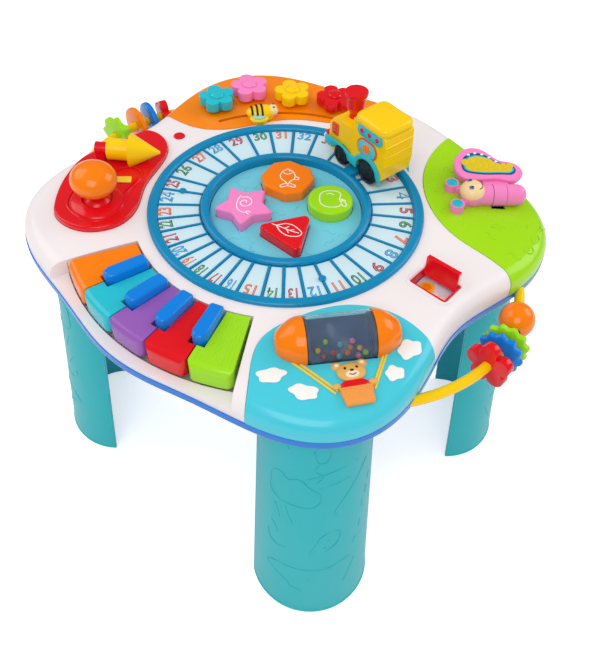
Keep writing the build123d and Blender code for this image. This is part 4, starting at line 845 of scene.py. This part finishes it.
def gear_trim():
    """Stepped plateau, low mound round the lever and sticker on the red panel."""
    deck = Matrix.Translation((0, 0, DECK))
    channel = [(-115, -88), (-104, -104), (-104, -128), (-120, -137), (-143, -134), (-156, -118),
               (-158, -98), (-150, -84), (-146, -66), (-136, -58), (-122, -64)]
    loop = smooth_loop(channel, 96)
    rim = stroke([(x, y, 5.0) for x, y in loop[::2]], 1.3, closed=True)
    settle(rim, "gear_contour", "table", RED, deck, crowned=True)
    step = tile([(x * 0.86 - 18.2, y * 0.86 - 13.8) for x, y in loop], 4.4, 6.2, bevel=0.8)
    cut_away(step, pebble(*LEVER, -4, 32.8, 32.8, 32.8))
    settle(step, "gear_step", "table", RED, deck, crowned=True)
    mound = pebble(*LEVER, 3.4, 52, 50, 10.4)
    cut_away(mound, pebble(*LEVER, -4, 32.8, 32.8, 32.8))
    cut_away(mound, pebble(*LEVER, 8.6, 28.4, 28.4, 16.0))
    settle(mound, "gear_mound", "table", RED, deck)
    skirt = [(-191.4, -19.1), (-192.8, -27.0), (-194.0, -36.0), (-195.7, -45.6),
             (-193.5, -45.9), (-191.8, -36.4), (-190.6, -27.4), (-189.2, -19.4)]
    settle(tile(skirt, -24.0, -13.9, bevel=0.2), "shell_bridge", "table", WHITE, deck)
    tag = tile(rounded(14.5, 8.5, 1.2), 0, 0.7, bevel=0.2)
    settle(tag, "gear_sticker", "table", ROPE, turned(-130.7, -78.2, 6.0, 42.6))


WINDOW = (157, 10.3)


def lid_trim():
    """White raised edge of the window and a picture of plain shapes under it."""
    deck = Matrix.Translation((0, 0, DECK))
    edge = [(x, y, 0.1) for x, y in rounded(39.6, 28.2, 4.2, *WINDOW)]
    settle(stroke(edge, 1.5, closed=True), "window_edge", "table", WHITE, deck, crowned=True)
    card = tile(rounded(31.8, 20.4, 1.0, *WINDOW), -9.0, -8.4, bevel=0.1)
    settle(card, "window_card", "table", CARD, deck)
    sun = tile([(150.5 + x, 9.5 + y) for x, y in lobed(6.4, 0.7, 14)], -8.4, -7.9, bevel=0.15)
    settle(sun, "window_sun", "table", SUN, deck)
    heart = pebble(150.5, 9.5, -7.9, 7.6, 7.6, 1.2)
    settle(heart, "window_sun_heart", "table", ORANGE, deck)
    puffs = (((8, 6, 164, 4.5), -7.95), ((6, 5, 168, 6.5), -7.9), ((5, 4.5, 161.5, 7.5), -7.85))
    puff = [tile(oval(*shape), -8.4, high, bevel=0.15) for shape, high in puffs]
    settle(joined(puff), "window_cloud", "table", MUZZLE, deck)


BAR_X, BAR_R, BAR_Z = 86.979, 142.021, -29.5


def shaped_bead(outline, thick, angle, side):
    """Lobed bead across a bead bar, with a rounded hole."""
    made = tile(outline, -thick / 2, thick / 2, bevel=1.3)
    bpy.ops.mesh.primitive_cylinder_add(vertices=40, radius=5.0 * MM, depth=40 * MM)
    cut_away(made, bpy.context.object)
    place = (Matrix.Rotation(radians(side), 4, "Z") @ Matrix.Translation((BAR_X * MM, 0, DECK + BAR_Z * MM))
             @ Matrix.Rotation(radians(angle), 4, "Z") @ Matrix.Translation((BAR_R * MM, 0, 0))
             @ Matrix.Rotation(radians(90), 4, "X"))
    made.data.transform(place)
    return made


def beads():
    """Flower, scalloped and ring beads of both bars."""
    red = shaped_bead(petals(20.6, 5, 100), 8.4, -3.4, 0)
    settle(red, "red_flower_bead", "right_discs", RED)
    blue = shaped_bead(lobed(18.6, 1.5, 11), 5.4, 3.2, 0)
    settle(blue, "blue_scallop_bead", "right_discs", BLUE)
    green = shaped_bead(lobed(18.6, 1.5, 11, 15), 5.2, 7.8, 0)
    settle(green, "green_scallop_bead", "right_discs", GREEN)
    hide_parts("right_disc_beads")
    flower = shaped_bead(lobed(18.6, 1.9, 8), 7.4, 2.4, 180)
    settle(flower, "green_left_bead", "left_bead_group", GREEN)
    hoops = []
    for angle in (-7.8, -14.2):
        hoops.append(shaped_bead(oval(38.6, 38.6, count=72), 5.2, angle, 180))
    settle(hoops[0], "orange_hoop_bead", "left_bead_group", ORANGE)
    settle(hoops[1], "blue_hoop_bead", "left_bead_group", BLUE)
    far = shaped_bead(petals(17.8, 5, 90), 7.4, -20.8, 180)
    settle(far, "red_left_bead", "left_bead_group", RED)
    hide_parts("left_beads")


# ------------------------------------------------------------------ raised line reliefs

LEG_LINES = [
    [(-52, 200), (-50, 212), (-40, 218), (-32, 212), (-22, 216), (-10, 206), (-2, 200), (0, 188),
     (-6, 180), (-24, 178), (-44, 180), (-52, 188), (-52, 200)],
    [(-22, 214), (-4, 222), (16, 228), (38, 230)], [(-2, 207), (14, 210), (30, 212)],
    [(52, 220), (44, 210), (30, 192), (20, 178), (15, 168), (18, 160)],
    [(-46, 170), (-42, 160), (-40, 152)], [(-34, 172), (-30, 160), (-26, 150)],
    [(-50, 140), (-44, 134), (-42, 126)], [(-54, 122), (-52, 112), (-44, 106), (-32, 108)],
    [(-8, 106), (-2, 122), (6, 136), (20, 138), (22, 128), (12, 112), (-8, 106)],
    [(9, 126), (12, 127)], [(5, 115), (8, 116)],
    [(-48, 274), (-42, 264), (-32, 252)], [(-8, 254), (2, 262), (8, 254), (0, 240), (-8, 254)],
    [(-1, 240), (-6, 230), (2, 224), (-4, 214)],
    [(38, 282), (36, 272), (28, 268), (24, 256)], [(60, 192), (58, 182)], [(56, 176), (54, 166)],
    [(50, 160), (49, 150)], [(48, 132), (46, 122)], [(42, 110), (38, 102)],
    [(-54, 68), (-44, 76), (-20, 78), (6, 78), (24, 84), (34, 86)],
    [(-54, 66), (-40, 58), (-30, 52), (-26, 44), (-18, 42), (-15, 36)], [(-9, 62), (-8, 54)],
    [(42, 74), (36, 62), (32, 52), (28, 44)]]
RELIEFS = {"wave": [[(-6, 0), (-3, 2), (0, 0), (3, -2), (6, 0)]],
           "swirl": [[(0, 0), (2, 1), (1, 3.4), (-2.4, 3), (-3.4, -0.6), (-0.6, -3.6), (4, -2.6), (6, 1)]],
           "leaf": [[(-6, 0), (-2, 3), (3, 3), (7, 0), (3, -3), (-2, -3), (-6, 0)], [(-6, 0), (4, 0)]],
           "sprig": [[(-5, -4), (0, 0), (2, 5)], [(0, 0), (4, 0), (6, 2)], [(-2, -1.6), (-4, 2)]]}
SPOTS = [("leaf", 157, 109, 30), ("swirl", 193, 104, 80), ("wave", 188, 88, 10), ("sprig", 186, 138, 50),
         ("wave", 108, 94, 120), ("wave", 92, 112, 60), ("swirl", 78, 146, 20), ("sprig", 173, 129, 200),
         ("wave", 159, 94, 0), ("leaf", 190, 121, 100)]
DISC_SPOTS = [(-60, 8, 80), (-58, -2, 20), (-4, 55, 10), (5, 8, 140), (-2, -8, 40), (2, -52, 10),
              (-8, -58, 60), (56, -6, 100), (60, 10, 60), (-50, 42, 130), (48, 4, 30), (-2, 40, 100),
              (-46, 2, 60), (10, -58, 170), (52, -30, 50), (-10, -46, 90)]
LEGS = (("front_right", -40, 1), ("back_right", 40, -1), ("back_left", 140, 1), ("front_left", 220, -1))
EDGE_TURN = 88.4


def leg_point(leg, around, height, lift=0.0):
    """Point on a leg's outer face, by degrees round it and height above the floor in millimetres."""
    share = 1 - height / 285
    radius, reach = 48 + 10.5 * share + lift, 172 + 19 * share
    turn = radians(leg + around)
    return (reach * cos(radians(leg)) + radius * cos(turn),
            reach * sin(radians(leg)) + radius * sin(turn), height)


def leg_reliefs():
    """Raised lines and a rolled lower edge on each leg."""
    for name, leg, flip in LEGS:
        made = []
        for line in LEG_LINES:
            made.append(stroke([leg_point(leg, flip * around - 4, height) for around, height in line], 0.5))
        made.append(stroke([leg_point(leg, around, 2.2, -0.5) for around in range(-88, 89, 8)], 1.2))
        for side in (-1, 1):
            edge = [leg_point(leg, side * EDGE_TURN, height, -0.7) for height in range(4, 272, 20)]
            made.append(stroke(edge, 1.1))
        settle(joined(made), name + "_leg_reliefs", "table", LEG)


def reliefs():
    """Shallow raised lines on the green cover and the sunken disc."""
    made = []
    for kind, x, y, turn in SPOTS:
        for line in RELIEFS[kind]:
            one = stroke([(px, py, 0) for px, py in line], 0.42)
            one.data.transform(turned(x, y, 0.62, turn))
            made.append(one)
    settle(joined(made), "meadow_reliefs", "table", MEADOW, crowned=True)
    made = []
    for x, y, turn in DISC_SPOTS:
        one = stroke([(px, py, 0) for px, py in RELIEFS["wave"][0]], 0.42)
        one.data.transform(turned(x, y, -4.45, turn))
        made.append(one)
    settle(joined(made), "disc_reliefs", "table", DISC)


KEY_TURNS = {"blue_key_1": -105.45, "blue_key_2": -94.1, "blue_key_3": -82.75, "blue_key_4": -71.4}


def blue_keys():
    """Tapered blue keys with a six sided nose."""
    outline = [(140.0, -6.2), (166, -6.7), (172, -6.7), (176.4, -4.6), (178.0, -2.6), (178.0, 2.6),
               (176.4, 4.6), (172, 6.7), (166, 6.7), (140.0, 6.2)]
    for name, turn in KEY_TURNS.items():
        made = tile(outline, -13.4, 9.0, bevel=2.6)
        settle(made, name + "_cap", name, BLUE, turned(0, 0, 0, turn))
        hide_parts(name)


def green_ribs():
    """Fine ribs along the green key."""
    made = []
    for step in range(11):
        turn = radians(-70.4 + 0.62 + step * 0.93)
        reaches = (180, 186, 192.5) if step < 4 else (143, 170, 192.5)
        made.append(stroke([(reach * cos(turn), reach * sin(turn), 0.5) for reach in reaches], 0.3))
    settle(joined(made), "green_key_ribs", "green_key", GREEN, Matrix.Translation((0, 0, DECK)))


# ------------------------------------------------------------------ floor, light and camera

def floor():
    """Pale floor that the camera sees as white, with the table's soft shadow."""
    bpy.ops.mesh.primitive_plane_add(size=12, location=(0, 0, -0.0005))
    plane = bpy.context.object
    plane.name = "studio_floor"
    made, shader, place = material("pale_floor")
    shader.inputs["Roughness"].default_value = 0.9
    mottle = place.node("ShaderNodeTexNoise", {"Vector": place, "Scale": 3.0})
    shade = mottle.mix((0.80, 0.80, 0.80, 1), (0.82, 0.82, 0.82, 1))
    made.node_tree.links.new(shade.socket, shader.inputs["Base Color"])
    rays = made.node_tree.nodes.new("ShaderNodeLightPath")
    glow = made.node_tree.nodes.new("ShaderNodeEmission")
    glow.inputs["Color"].default_value = (1, 1, 1, 1)
    camera_ray = Signal(made.node_tree, rays.outputs["Is Camera Ray"])
    glossy_ray = Signal(made.node_tree, rays.outputs["Is Glossy Ray"])
    lift = (camera_ray + glossy_ray * 0.2) * 0.55
    made.node_tree.links.new(lift.socket, glow.inputs["Strength"])
    both = made.node_tree.nodes.new("ShaderNodeAddShader")
    made.node_tree.links.new(shader.outputs[0], both.inputs[0])
    made.node_tree.links.new(glow.outputs[0], both.inputs[1])
    made.node_tree.links.new(both.outputs[0], made.node_tree.nodes["Material Output"].inputs[0])
    plane.data.materials.append(made)


def studio_light():
    """White world and three large soft lamps."""
    world = bpy.data.worlds.new("studio")
    bpy.context.scene.world = world
    world.use_nodes = True
    tree = world.node_tree
    back = tree.nodes["Background"]
    rays = tree.nodes.new("ShaderNodeLightPath")
    camera_ray = Signal(tree, rays.outputs["Is Camera Ray"])
    glossy_ray = Signal(tree, rays.outputs["Is Glossy Ray"])
    strength = (camera_ray * 0.32 + 0.68) - glossy_ray * 0.56
    back.inputs["Color"].default_value = (1, 1, 1, 1)
    tree.links.new(strength.socket, back.inputs["Strength"])
    lamps = [((0.9, -1.5, 2.2), 1.6, 22.0), ((-1.8, -0.6, 1.8), 1.6, 12.0), ((1.1, 2.0, 1.6), 1.5, 15.0)]
    for place, size, power in lamps:
        bpy.ops.object.light_add(type="AREA", location=place)
        lamp = bpy.context.object
        lamp.data.size = size
        lamp.data.energy = power
        aim = Vector((0, 0, 0.3)) - Vector(place)
        lamp.rotation_euler = aim.to_track_quat("-Z", "Y").to_euler()


def camera():
    """Camera that stands over the table's front right leg."""
    ahead = Vector((-0.412, 0.509, -0.755)).normalized()
    level = ahead.cross(Vector((0, 0, 1))).normalized()
    above = level.cross(ahead)
    roll = radians(2.34)
    right = level * cos(roll) + above * sin(roll)
    top = above * cos(roll) - level * sin(roll)
    data = bpy.data.cameras.new("camera")
    data.sensor_width = 36.0
    data.lens = 36.0 * 800 / 667
    data.clip_start = 0.05
    holder = bpy.data.objects.new("camera", data)
    holder.matrix_world = Matrix(((right.x, top.x, -ahead.x, 0.3678),
                                  (right.y, top.y, -ahead.y, -0.4268),
                                  (right.z, top.z, -ahead.z, 0.7932), (0, 0, 0, 1)))
    bpy.context.scene.collection.objects.link(holder)
    bpy.context.scene.camera = holder


track_plates()
track_numbers()
motifs()
clouds()
rider()
basket()
ropes()
drum_inside()
butterfly()
train_sides()
train_front()
wheel_hubs()
cab_roof()
flower_faces()
bee()
gear_trim()
lid_trim()
beads()
leg_reliefs()
reliefs()
blue_keys()
green_ribs()
floor()
studio_light()
camera()
bpy.context.scene.view_settings.view_transform = "Standard"
